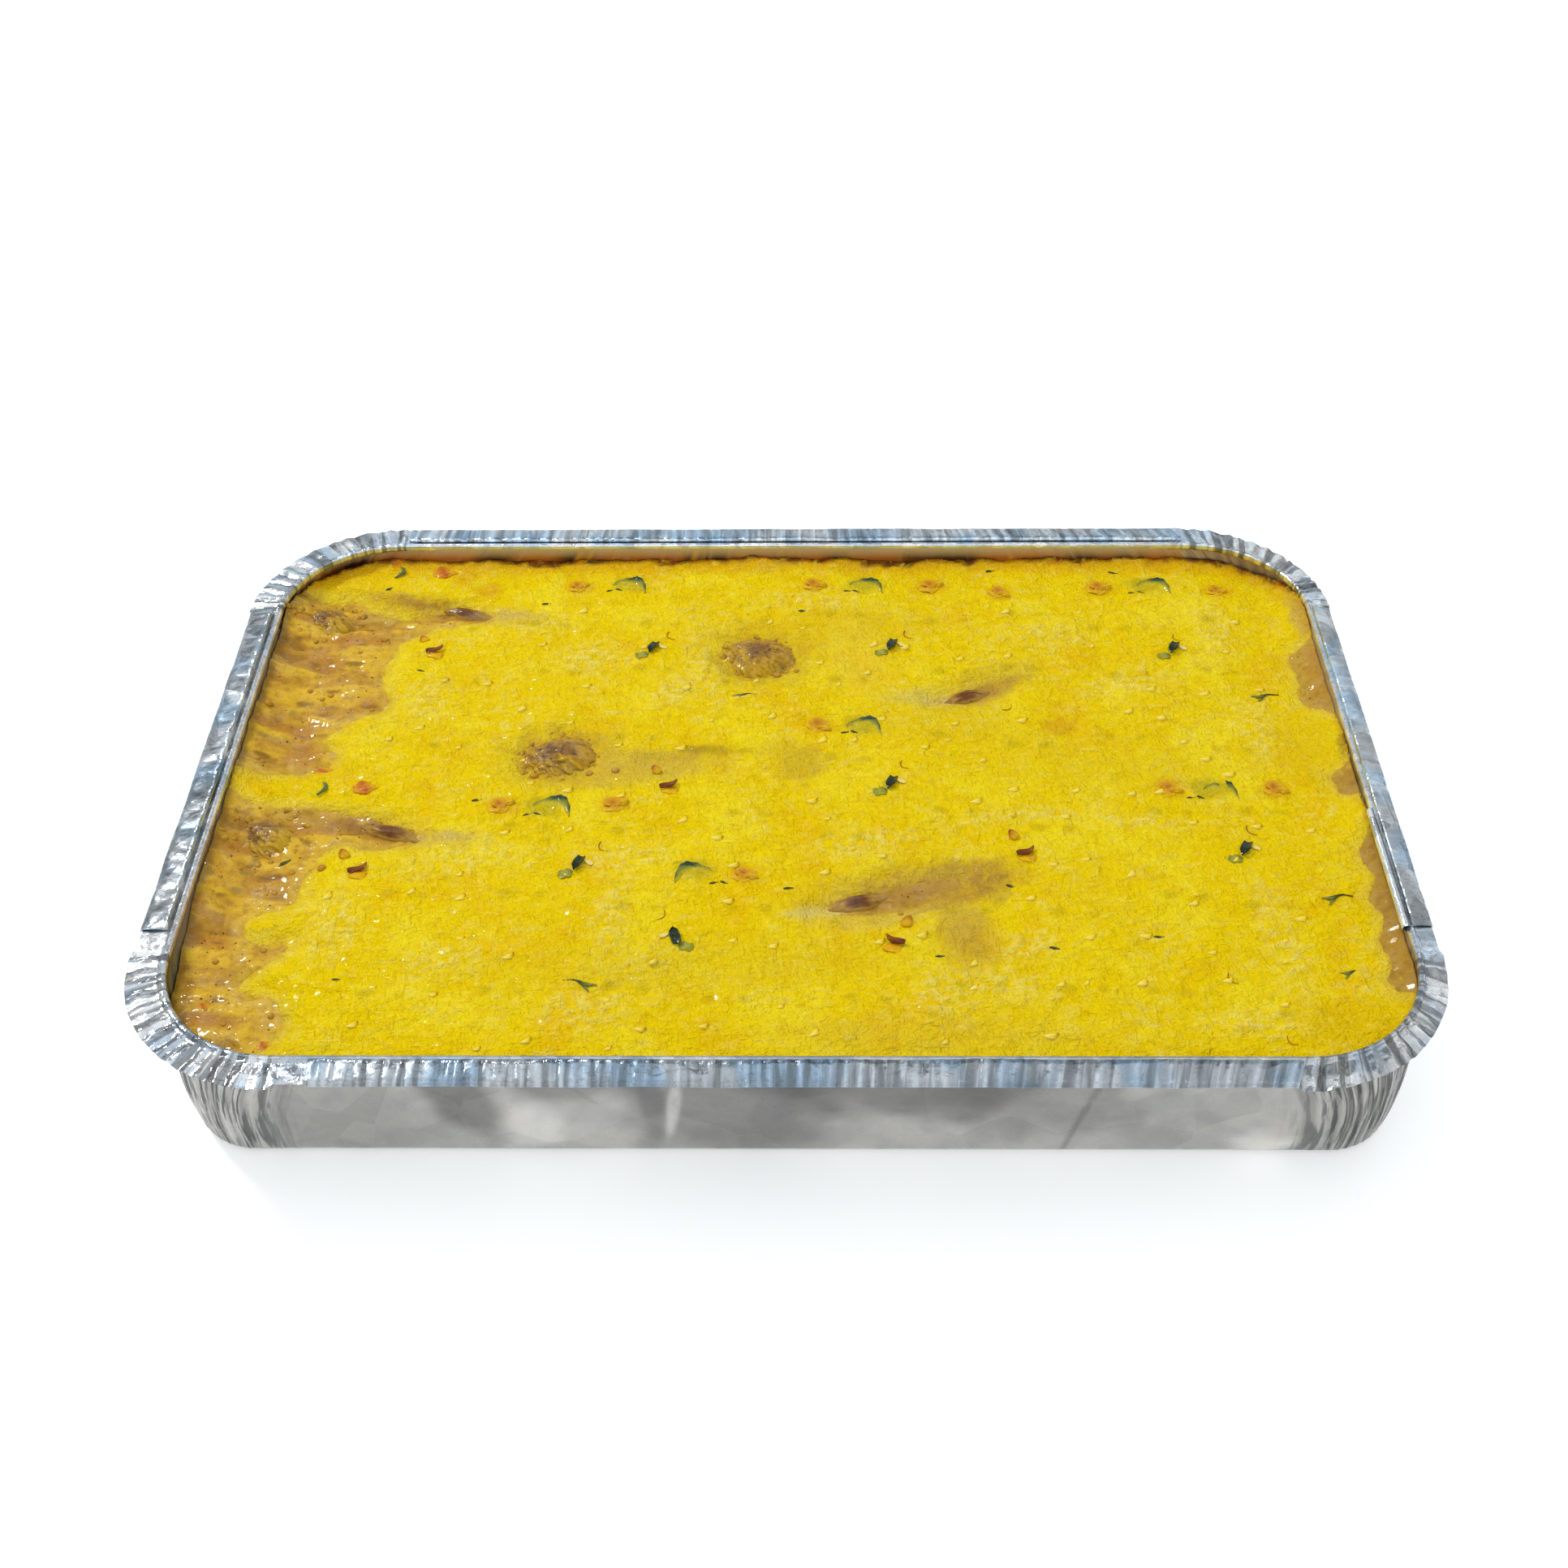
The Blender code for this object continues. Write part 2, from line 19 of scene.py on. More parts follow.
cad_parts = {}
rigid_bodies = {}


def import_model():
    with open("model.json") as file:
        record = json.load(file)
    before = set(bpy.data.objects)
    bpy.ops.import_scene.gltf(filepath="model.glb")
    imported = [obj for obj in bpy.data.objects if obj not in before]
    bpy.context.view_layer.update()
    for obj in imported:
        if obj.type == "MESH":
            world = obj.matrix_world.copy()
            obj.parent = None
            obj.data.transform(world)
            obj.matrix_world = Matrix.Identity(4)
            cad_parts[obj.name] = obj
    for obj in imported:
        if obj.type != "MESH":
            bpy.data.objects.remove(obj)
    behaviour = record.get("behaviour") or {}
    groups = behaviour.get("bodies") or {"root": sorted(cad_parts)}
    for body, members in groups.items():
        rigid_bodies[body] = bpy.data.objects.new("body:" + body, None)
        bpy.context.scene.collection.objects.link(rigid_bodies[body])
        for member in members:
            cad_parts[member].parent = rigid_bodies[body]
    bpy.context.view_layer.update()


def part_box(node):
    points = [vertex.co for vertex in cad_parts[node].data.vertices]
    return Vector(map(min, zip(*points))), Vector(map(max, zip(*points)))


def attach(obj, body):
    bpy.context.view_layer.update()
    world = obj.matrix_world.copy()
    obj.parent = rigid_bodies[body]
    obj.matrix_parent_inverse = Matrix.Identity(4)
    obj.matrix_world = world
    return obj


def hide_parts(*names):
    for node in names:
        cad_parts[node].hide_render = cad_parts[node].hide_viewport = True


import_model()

log = logging.getLogger("foil_tray_meal")

MM = 0.001
ROOT = "root"
# Vertices closer than this become one
WELD = 1e-6

Array = np.ndarray
Colour = tuple[float, float, float]
Piece = bpy.types.Object
Socket = bpy.types.NodeSocket
Shape = Callable[[Array, Array], Array]


def srgb(red: float, green: float, blue: float) -> Colour:
    """A display colour from 0 to 255 as the linear colour that the renderer works in."""
    shares = np.array((red, green, blue)) / 255
    linear = np.where(shares <= 0.04045, shares / 12.92, ((shares + 0.055) / 1.055) ** 2.4)
    return tuple(float(value) for value in linear)


def smooth(low: float, high: float, value: Array) -> Array:
    """0 below low, 1 above high, and an even S-curve between them."""
    share = np.clip((value - low) / (high - low), 0.0, 1.0)
    return share * share * (3 - 2 * share)


class Noise:
    """Seeded gradient noise in a plane, for many points at once."""

    SIZE = 256
    SHIFT_X, SHIFT_Y = 71.3, 37.7

    def __init__(self, seed: int) -> None:
        """Draw the table of slopes.

        Args:
            seed: start of the random draw, so that each run is the same.
        """
        turn = np.random.default_rng(seed).uniform(0, 2 * math.pi, (self.SIZE, self.SIZE))
        self.slope_x = np.cos(turn)
        self.slope_y = np.sin(turn)

    def __call__(self, x: Array, y: Array, size: float, size_y: float | None = None) -> Array:
        """The noise, roughly from -0.7 to 0.7.

        Args:
            x: first coordinates.
            y: second coordinates.
            size: length of a feature along x, and along y unless size_y is given.
            size_y: length of a feature along y.

        Returns:
            One value for each point.
        """
        u = np.asarray(x) / size + self.SHIFT_X
        v = np.asarray(y) / (size_y or size) + self.SHIFT_Y
        column, row = np.floor(u), np.floor(v)
        a, b = u - column, v - row
        column, row = column.astype(int), row.astype(int)
        corners = []
        for right in (0, 1):
            for up in (0, 1):
                i, j = (column + right) % self.SIZE, (row + up) % self.SIZE
                corners.append(self.slope_x[i, j] * (a - right) + self.slope_y[i, j] * (b - up))
        ease_a, ease_b = smooth(0, 1, a), smooth(0, 1, b)
        left = corners[0] + ease_b * (corners[1] - corners[0])
        right = corners[2] + ease_b * (corners[3] - corners[2])
        return left + ease_a * (right - left)


def deselect() -> None:
    """Leave the scene in object mode with nothing selected."""
    if bpy.context.object and bpy.context.object.mode != "OBJECT":
        bpy.ops.object.mode_set(mode="OBJECT")
    bpy.ops.object.select_all(action="DESELECT")


def pick(obj: Piece) -> None:
    """Make one object the only selected and active one."""
    deselect()
    obj.select_set(True)
    bpy.context.view_layer.objects.active = obj


@contextmanager
def editing(obj: Piece, where: Array | None = None) -> Iterator[None]:
    """Edit mode on one object, until the end of the with block.

    Args:
        obj: the piece.
        where: which vertices start selected, or all of them if it isn't given.
    """
    pick(obj)
    bpy.ops.object.mode_set(mode="EDIT")
    bpy.ops.mesh.select_mode(type="VERT")
    bpy.ops.mesh.select_all(action="SELECT" if where is None else "DESELECT")
    if where is not None:
        bpy.ops.object.mode_set(mode="OBJECT")
        obj.data.vertices.foreach_set("select", where)
        bpy.ops.object.mode_set(mode="EDIT")
    yield
    bpy.ops.object.mode_set(mode="OBJECT")


def read_points(obj: Piece) -> Array:
    """The object's vertices as rows of x, y, z."""
    points = np.empty(len(obj.data.vertices) * 3, dtype=np.float32)
    obj.data.vertices.foreach_get("co", points)
    return points.reshape(-1, 3).astype(float)


def write_points(obj: Piece, points: Array) -> None:
    """Move the object's vertices."""
    obj.data.vertices.foreach_set("co", points.astype(np.float32).ravel())
    obj.data.update()


def push(obj: Piece, axis: int, shift: Callable[[Array], Array]) -> None:
    """Move the vertices along an axis by a shift worked out from their places, in millimetres."""
    points = read_points(obj)
    points[:, axis] += shift(points / MM) * MM
    write_points(obj, points)


def wrapped_grid(name: str, columns: int, rows: int, shape: Shape, shade_of: Shape | None = None) -> Piece:
    """A primitive grid laid onto a surface.

    Args:
        name: the object's name.
        columns: faces along the grid's first side.
        rows: faces along its second side.
        shape: turns shares from 0 to 1 along both sides into points.
        shade_of: turns the same shares into rows for the attribute "fold", as fold_rows lists, the first
            value being painted shade.

    Returns:
        The new object.
    """
    deselect()
    bpy.ops.mesh.primitive_grid_add(x_subdivisions=columns, y_subdivisions=rows, size=2.0)
    obj = bpy.context.object
    obj.name = obj.data.name = name
    flat = (read_points(obj) + 1) / 2
    write_points(obj, shape(flat[:, 0], flat[:, 1]))
    if shade_of:
        paint(obj, shade_of(flat[:, 0], flat[:, 1]), "fold")
    return obj


def rows_at(share: Array, count: int) -> Array:
    """Numbers of the grid rows that stand at shares from 0 to 1."""
    return np.rint(share * count).astype(int)


def unit_ball(name: str, detail: int) -> Piece:
    """A unit ball of even triangles, to be shaped."""
    deselect()
    bpy.ops.mesh.primitive_ico_sphere_add(subdivisions=detail, radius=1.0)
    obj = bpy.context.object
    obj.name = obj.data.name = name
    return obj


def close_up(obj: Piece, fill: bool = False) -> None:
    """Merge seams, close open ends if asked, and turn every face outwards.

    Args:
        obj: the piece.
        fill: whether open ends get a face.
    """
    with editing(obj):
        bpy.ops.mesh.remove_doubles(threshold=WELD)
        if fill:
            bpy.ops.mesh.fill_holes(sides=0)
            bpy.ops.mesh.select_all(action="SELECT")
        bpy.ops.mesh.normals_make_consistent(inside=False)


def shade(obj: Piece, angle: float = 180.0) -> None:
    """Shade smooth, but keep creases sharper than an angle in degrees."""
    pick(obj)
    bpy.ops.object.shade_smooth_by_angle(angle=math.radians(angle))


def paint(obj: Piece, colours: Array, name: str = "tint") -> None:
    """Store a colour for each vertex as an attribute.

    Args:
        obj: the piece.
        colours: rows of linear red, green and blue, or of those and a fourth value.
        name: the attribute's name.
    """
    if colours.shape[1] == 3:
        colours = np.hstack([colours, np.ones((len(colours), 1))])
    layer = obj.data.color_attributes.new(name=name, type="FLOAT_COLOR", domain="POINT")
    layer.data.foreach_set("color", colours.astype(np.float32).ravel())


def join(name: str, objects: Sequence[Piece]) -> Piece:
    """Join objects into one."""
    deselect()
    for obj in objects:
        obj.select_set(True)
    bpy.context.view_layer.objects.active = objects[0]
    if len(objects) > 1:
        bpy.ops.object.join()
    objects[0].name = objects[0].data.name = name
    return objects[0]


def layered(base: Array | Colour, *layers: tuple[Colour | Array, Array]) -> Array:
    """Rows of colour with others laid over them in turn.

    Args:
        base: rows of colour, or one colour for all rows.
        layers: a colour, or rows of it, and the share of it for each row.

    Returns:
        The mixed rows.
    """
    colours = np.array(base)
    for colour, share in layers:
        colours = colours + (np.array(colour) - colours) * np.clip(share, 0.0, 1.0)[:, None]
    return colours


class Slot(Enum):
    """The record's material slots."""

    FOIL = "foil"
    SAUCE = "creamy_sauce"
    MASH = "golden_mash"
    MEAT = "browned_meat"
    BEEF = "wet_beef"


def set_out(obj: Piece, material: bpy.types.Material, nodes: Sequence[str] = ()) -> Piece:
    """Dress a finished piece and tie it to the frame.

    Args:
        obj: the piece, at the origin.
        material: its finish.
        nodes: the frame's nodes that the piece stands for.

    Returns:
        The same piece.
    """
    obj.data.materials.clear()
    obj.data.materials.append(material)
    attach(obj, ROOT)
    if nodes:
        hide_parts(*nodes)
    log.info("%s: %d faces", obj.name, len(obj.data.polygons))
    return obj


class Graph:
    """Adds and joins shader nodes in a material's or a group's tree."""

    def __init__(self, tree: bpy.types.NodeTree) -> None:
        """Work on a node tree."""
        self.tree = tree

    def feed(self, node: bpy.types.Node, inputs: dict) -> None:
        """Give a node's inputs, by name or number, their values or the sockets that feed them."""
        for key, value in inputs.items():
            if isinstance(value, Socket):
                self.tree.links.new(value, node.inputs[key])
            else:
                node.inputs[key].default_value = value

    def add(self, kind: str, inputs: dict | None = None, **settings: object) -> bpy.types.Node:
        """Add a node.

        Args:
            kind: the node's type.
            inputs: values or sockets for its inputs, by name or number.
            settings: attributes of the node.

        Returns:
            The new node.
        """
        node = self.tree.nodes.new(kind)
        for key, value in settings.items():
            setattr(node, key, value)
        self.feed(node, inputs or {})
        return node

    def place(self) -> Socket:
        """The point on the piece, in the object's own coordinates."""
        return self.add("ShaderNodeTexCoord").outputs["Object"]

    def stretched(self, vector: Socket, scale: Colour, turn: float = 0.0) -> Socket:
        """Coordinates scaled along each axis, after a turn about Z in degrees."""
        inputs = {"Vector": vector, "Scale": scale, "Rotation": (0, 0, math.radians(turn))}
        return self.add("ShaderNodeMapping", inputs).outputs[0]

    def noise(self, vector: Socket, scale: object, detail: float = 3.0, warp: float = 0.0) -> Socket:
        """Cloudy noise from 0 to 1, with about scale features a metre."""
        inputs = {"Vector": vector, "Scale": scale, "Detail": detail, "Distortion": warp}
        return self.add("ShaderNodeTexNoise", inputs).outputs["Fac"]

    def ramp(
        self, value: Socket, low: float, high: float, to_low: float = 0.0, to_high: float = 1.0,
    ) -> Socket:
        """A smooth step from one value to another."""
        inputs = {"Value": value, "From Min": low, "From Max": high, "To Min": to_low, "To Max": to_high}
        return self.add("ShaderNodeMapRange", inputs, interpolation_type="SMOOTHSTEP").outputs[0]

    def math(self, operation: str, first: object, second: object) -> Socket:
        """Arithmetic on two values."""
        return self.add("ShaderNodeMath", {0: first, 1: second}, operation=operation).outputs[0]

    def plus(self, first: object, second: object) -> Socket:
        """The sum of two values."""
        return self.math("ADD", first, second)

    def times(self, first: object, second: object) -> Socket:
        """The product of two values."""
        return self.math("MULTIPLY", first, second)

    def mix(self, share: object, first: object, second: object, how: str = "MIX") -> Socket:
        """Two colours mixed by a share."""
        first, second = (value if isinstance(value, Socket) else (*value, 1.0) for value in (first, second))
        inputs = {0: share, 6: first, 7: second}
        return self.add("ShaderNodeMix", inputs, data_type="RGBA", blend_type=how).outputs[2]

    def attribute(self, name: str) -> bpy.types.Node:
        """The node that reads a colour attribute of the piece."""
        return self.add("ShaderNodeVertexColor", layer_name=name)

    def bump(self, height: Socket, depth: float, strength: float = 1.0) -> Socket:
        """A normal from a height, at a depth in metres."""
        inputs = {"Height": height, "Distance": depth, "Strength": strength}
        return self.add("ShaderNodeBump", inputs).outputs["Normal"]

    def group(self, tree: bpy.types.NodeTree, inputs: dict) -> bpy.types.Node:
        """Place a shared group with its own values."""
        return self.add("ShaderNodeGroup", inputs, node_tree=tree)


def new_group(name: str, inputs: Sequence[str], outputs: Sequence[str]) -> tuple[Graph, dict, bpy.types.Node]:
    """Start a shader node group.

    Args:
        name: the group's name.
        inputs: names of its inputs, of which the first is a vector and the rest are numbers.
        outputs: names of its outputs, all numbers.

    Returns:
        The graph, the sockets that give its inputs by name, and its output node.
    """
    tree = bpy.data.node_groups.new(name, "ShaderNodeTree")
    for direction, names in (("INPUT", inputs), ("OUTPUT", outputs)):
        for socket in names:
            kind = "NodeSocketVector" if socket == "Vector" else "NodeSocketFloat"
            tree.interface.new_socket(name=socket, in_out=direction, socket_type=kind)
    graph = Graph(tree)
    given = graph.add("NodeGroupInput").outputs
    return graph, {socket: given[socket] for socket in inputs}, graph.add("NodeGroupOutput")


class Effects:
    """The shared effects, each made once."""

    def __init__(self) -> None:
        """Build every shared group."""
        self.crumple = self._crumple()
        self.flecks = self._flecks()
        self.grain = self._grain()

    @staticmethod
    def _crumple() -> bpy.types.NodeTree:
        """Creased foil: flat facets that meet at folds, at two sizes, and a fine rolled grain."""
        graph, given, out = new_group("crumple", ("Vector", "Scale"), ("Height", "Mask", "Facet"))
        wide = graph.add("ShaderNodeTexVoronoi", {"Vector": given["Vector"], "Scale": given["Scale"]})
        fine = graph.noise(given["Vector"], graph.times(given["Scale"], 2.7), 2.0)
        height = graph.plus(wide.outputs["Distance"], graph.times(fine, 0.7))
        split = graph.add("ShaderNodeSeparateColor", {"Color": wide.outputs["Color"]})
        mask = graph.ramp(fine, 0.35, 0.7)
        graph.feed(out, {"Height": height, "Mask": mask, "Facet": split.outputs["Red"]})
        return graph.tree

    @staticmethod
    def _flecks() -> bpy.types.NodeTree:
        """Short streaks such as bits of cream or shreds, as a mask and a height."""
        graph, given, out = new_group("flecks", ("Vector", "Scale", "Cover"), ("Mask", "Height"))
        streaks = []
        for turn, stretch in ((18, (1.0, 2.6, 2.0)), (-34, (2.2, 1.0, 2.0)), (64, (1.0, 2.0, 2.0))):
            vector = graph.stretched(given["Vector"], stretch, turn)
            streaks.append(graph.noise(vector, given["Scale"], 3.0, 0.5))
        most = graph.math("MAXIMUM", graph.math("MAXIMUM", streaks[0], streaks[1]), streaks[2])
        edge = graph.math("SUBTRACT", 0.8, given["Cover"])
        mask = graph.times(graph.math("SUBTRACT", most, edge), 9.0)
        graph.feed(out, {"Mask": graph.add("ShaderNodeClamp", {"Value": mask}).outputs[0], "Height": most})
        return graph.tree

    @staticmethod
    def _grain() -> bpy.types.NodeTree:
        """Fine uneven grain of moist food, as a height and a mask."""
        graph, given, out = new_group("grain", ("Vector", "Scale"), ("Height", "Mask"))
        vector, scale = given["Vector"], given["Scale"]
        soft = graph.add(
            "ShaderNodeTexNoise", {"Vector": vector, "Scale": scale, "Detail": 5.0, "Roughness": 0.6},
        )
        specks = graph.add("ShaderNodeTexNoise", {"Vector": vector, "Scale": graph.times(scale, 3.1)})
        graph.feed(out, {"Height": soft.outputs["Fac"], "Mask": graph.ramp(specks.outputs["Fac"], 0.6, 0.72)})
        return graph.tree


def new_material(name: str, **sockets: float | Colour) -> tuple[bpy.types.Material, Graph, bpy.types.Node]:
    """A material with a Principled shader.

    Args:
        name: the material's name.
        sockets: constants for the shader's own sockets, with underscores for spaces.

    Returns:
        The material, its graph and its shader node.
    """
    material = bpy.data.materials.new(name)
    material.use_nodes = True
    shader = material.node_tree.nodes["Principled BSDF"]
    for key, value in sockets.items():
        shader.inputs[key.replace("_", " ")].default_value = value
    return material, Graph(material.node_tree), shader


@dataclass(frozen=True)
class FoilFinish:
    """Bright rolled aluminium foil with creases, painted shade and light, and patches of painted reflection;
    old greasy crust, with some painted highlight and reflection, where the piece is painted.
    """

    name: str
    colour: Colour
    cool: Colour
    roughness: float
    crease_scale: float
    crease_depth: float
    facet_dark: float
    contrast: float
    streak_scale: float = 350.0
    streak_depth: float = 0.2 * MM
    metallic: float = 0.85
    # whether the piece carries greasy crust with some painted highlight and reflection
    has_grease_and_sheen: bool = False
    shadow: Colour = (0.05, 0.055, 0.055)

    def build(self, effects: Effects) -> bpy.types.Material:
        """Make the material.

        Args:
            effects: the shared groups.

        Returns:
            The finished material.
        """
        material, graph, shader = new_material(self.name, Metallic=self.metallic, Specular_IOR_Level=0.5)
        place = graph.place()
        crumple = graph.group(effects.crumple, {"Vector": place, "Scale": self.crease_scale}).outputs
        patches = graph.ramp(graph.noise(place, 70.0, 2.0), 0.42, 0.62)
        fold = graph.attribute("fold").outputs
        parts = graph.add("ShaderNodeSeparateColor", {"Color": fold["Color"]})
        # patches of the cool colour: painted reflection
        colour = graph.mix(patches, self.colour, self.cool)
        # painted shade, from the first value of the attribute fold
        colour = graph.mix(1.0, colour, parts.outputs["Red"], "MULTIPLY")
        # each crumpled facet lighter or darker: painted light and shade
        facets = graph.ramp(crumple["Facet"], 0.1, 0.9, self.facet_dark, 1.06)
        strength = fold["Alpha"]
        plain = graph.math("SUBTRACT", 1.0, graph.times(strength, 0.8))
        colour = graph.mix(plain, colour, facets, "MULTIPLY")
        run = graph.stretched(fold["Color"], (0.0, self.streak_scale, 0.1 * self.streak_scale))
        lines = graph.noise(run, 1.0, 4.0, 0.3)
        dark = graph.times(graph.ramp(lines, 0.42, 0.53, self.contrast, 0.0), strength)
        colour = graph.mix(dark, colour, self.shadow)
        roughness = graph.ramp(crumple["Mask"], 0.0, 1.0, self.roughness * 0.75, self.roughness * 1.35)
        if self.has_grease_and_sheen:
            # greasy crust, with painted highlight and reflection in places
            grease_and_sheen = graph.attribute("grease_and_sheen").outputs
            colour = graph.mix(grease_and_sheen["Alpha"], colour, grease_and_sheen["Color"])
            graph.feed(shader, {"Metallic": graph.ramp(grease_and_sheen["Alpha"], 0.1, 0.9, self.metallic, 0.1)})
        creases = graph.times(crumple["Height"], self.crease_depth / self.streak_depth)
        normal = graph.bump(graph.plus(creases, graph.times(lines, strength)), self.streak_depth)
        graph.feed(shader, {"Base Color": colour, "Roughness": roughness, "Normal": normal})
        return material


@dataclass(frozen=True)
class MashFinish:
    """Moist golden mash: painted patches, cream flecks and a soft grain."""

    name: str = "golden_mash_surface"
    fleck: Colour = srgb(244, 220, 78)
    deep: Colour = srgb(222, 178, 0)
    gloss: float = 0.34
    depth: float = 1.5 * MM

    def build(self, effects: Effects) -> bpy.types.Material:
        """Make the material.

        Args:
            effects: the shared groups.

        Returns:
            The finished material.
        """
        material, graph, shader = new_material(
            self.name, Specular_IOR_Level=0.03, Coat_Roughness=0.1, Coat_IOR=1.4,
        )
        place = graph.place()
        turned = graph.stretched(place, (1, 1, 1), 71)
        tint = graph.attribute("tint").outputs
        flecks = graph.group(effects.flecks, {"Vector": place, "Scale": 170.0, "Cover": 0.17}).outputs
        shreds = graph.group(effects.flecks, {"Vector": turned, "Scale": 420.0, "Cover": 0.16}).outputs
        grain = graph.group(effects.grain, {"Vector": place, "Scale": 620.0}).outputs
        low = graph.ramp(graph.noise(place, 330.0, 3.0, 0.6), 0.30, 0.52, 0.45, 0.0)
        colour = graph.mix(low, tint["Color"], self.deep)
        for streaks, strength in ((flecks, 0.6), (shreds, 0.32)):
            pale = graph.times(streaks["Mask"], graph.times(tint["Alpha"], strength))
            colour = graph.mix(pale, colour, self.fleck)
        height = graph.plus(graph.times(flecks["Height"], 1.1), shreds["Height"])
        height = graph.plus(height, graph.times(grain["Height"], 0.35))
        graph.feed(shader, {
            "Base Color": colour,
            "Coat Weight": graph.ramp(graph.noise(place, 480.0, 3.0), 0.58, 0.68, 0.0, 0.6),
            "Roughness": graph.ramp(grain["Mask"], 0.0, 1.0, self.gloss, self.gloss + 0.16),
            "Normal": graph.bump(height, self.depth, 0.9),
        })
        return material


@dataclass(frozen=True)
class MoistFinish:
    """A wet food surface, painted by attribute, with darker grains and a gloss."""

    name: str
    dark: Colour
    light: Colour
    grain_scale: float
    grain_depth: float
    dark_share: float = 0.4
    roughness: float = 0.3
    coat: float = 0.5

    def build(self, effects: Effects) -> bpy.types.Material:
        """Make the material.

        Args:
            effects: the shared groups.

        Returns:
            The finished material.
        """
        material, graph, shader = new_material(self.name, Specular_IOR_Level=0.08, Coat_Roughness=0.06)
        place, size = graph.place(), self.grain_scale
        tint = graph.attribute("tint").outputs
        grain = graph.group(effects.grain, {"Vector": place, "Scale": size}).outputs
        flecks = graph.group(effects.flecks, {"Vector": place, "Scale": size * 0.5, "Cover": 0.15}).outputs
        hollow = graph.ramp(grain["Height"], 0.32, 0.55, self.dark_share, 0.0)
        colour = graph.mix(hollow, tint["Color"], self.dark)
        colour = graph.mix(graph.times(grain["Mask"], self.dark_share), colour, self.dark)
        colour = graph.mix(graph.times(flecks["Mask"], 0.35), colour, self.light)
        height = graph.plus(grain["Height"], graph.times(flecks["Height"], 0.6))
        graph.feed(shader, {
            "Base Color": colour,
            "Coat Weight": graph.ramp(
                graph.noise(place, size * 0.35, 2.0), 0.45, 0.62, self.coat * 0.15, self.coat,
            ),
            "Roughness": graph.ramp(grain["Height"], 0.3, 0.7, self.roughness * 1.3, self.roughness * 0.8),
            "Normal": graph.bump(height, self.grain_depth, 0.8),
        })
        return material


@dataclass(frozen=True)
class Span:
    """The least and the most that a measure may be."""

    start: float
    end: float


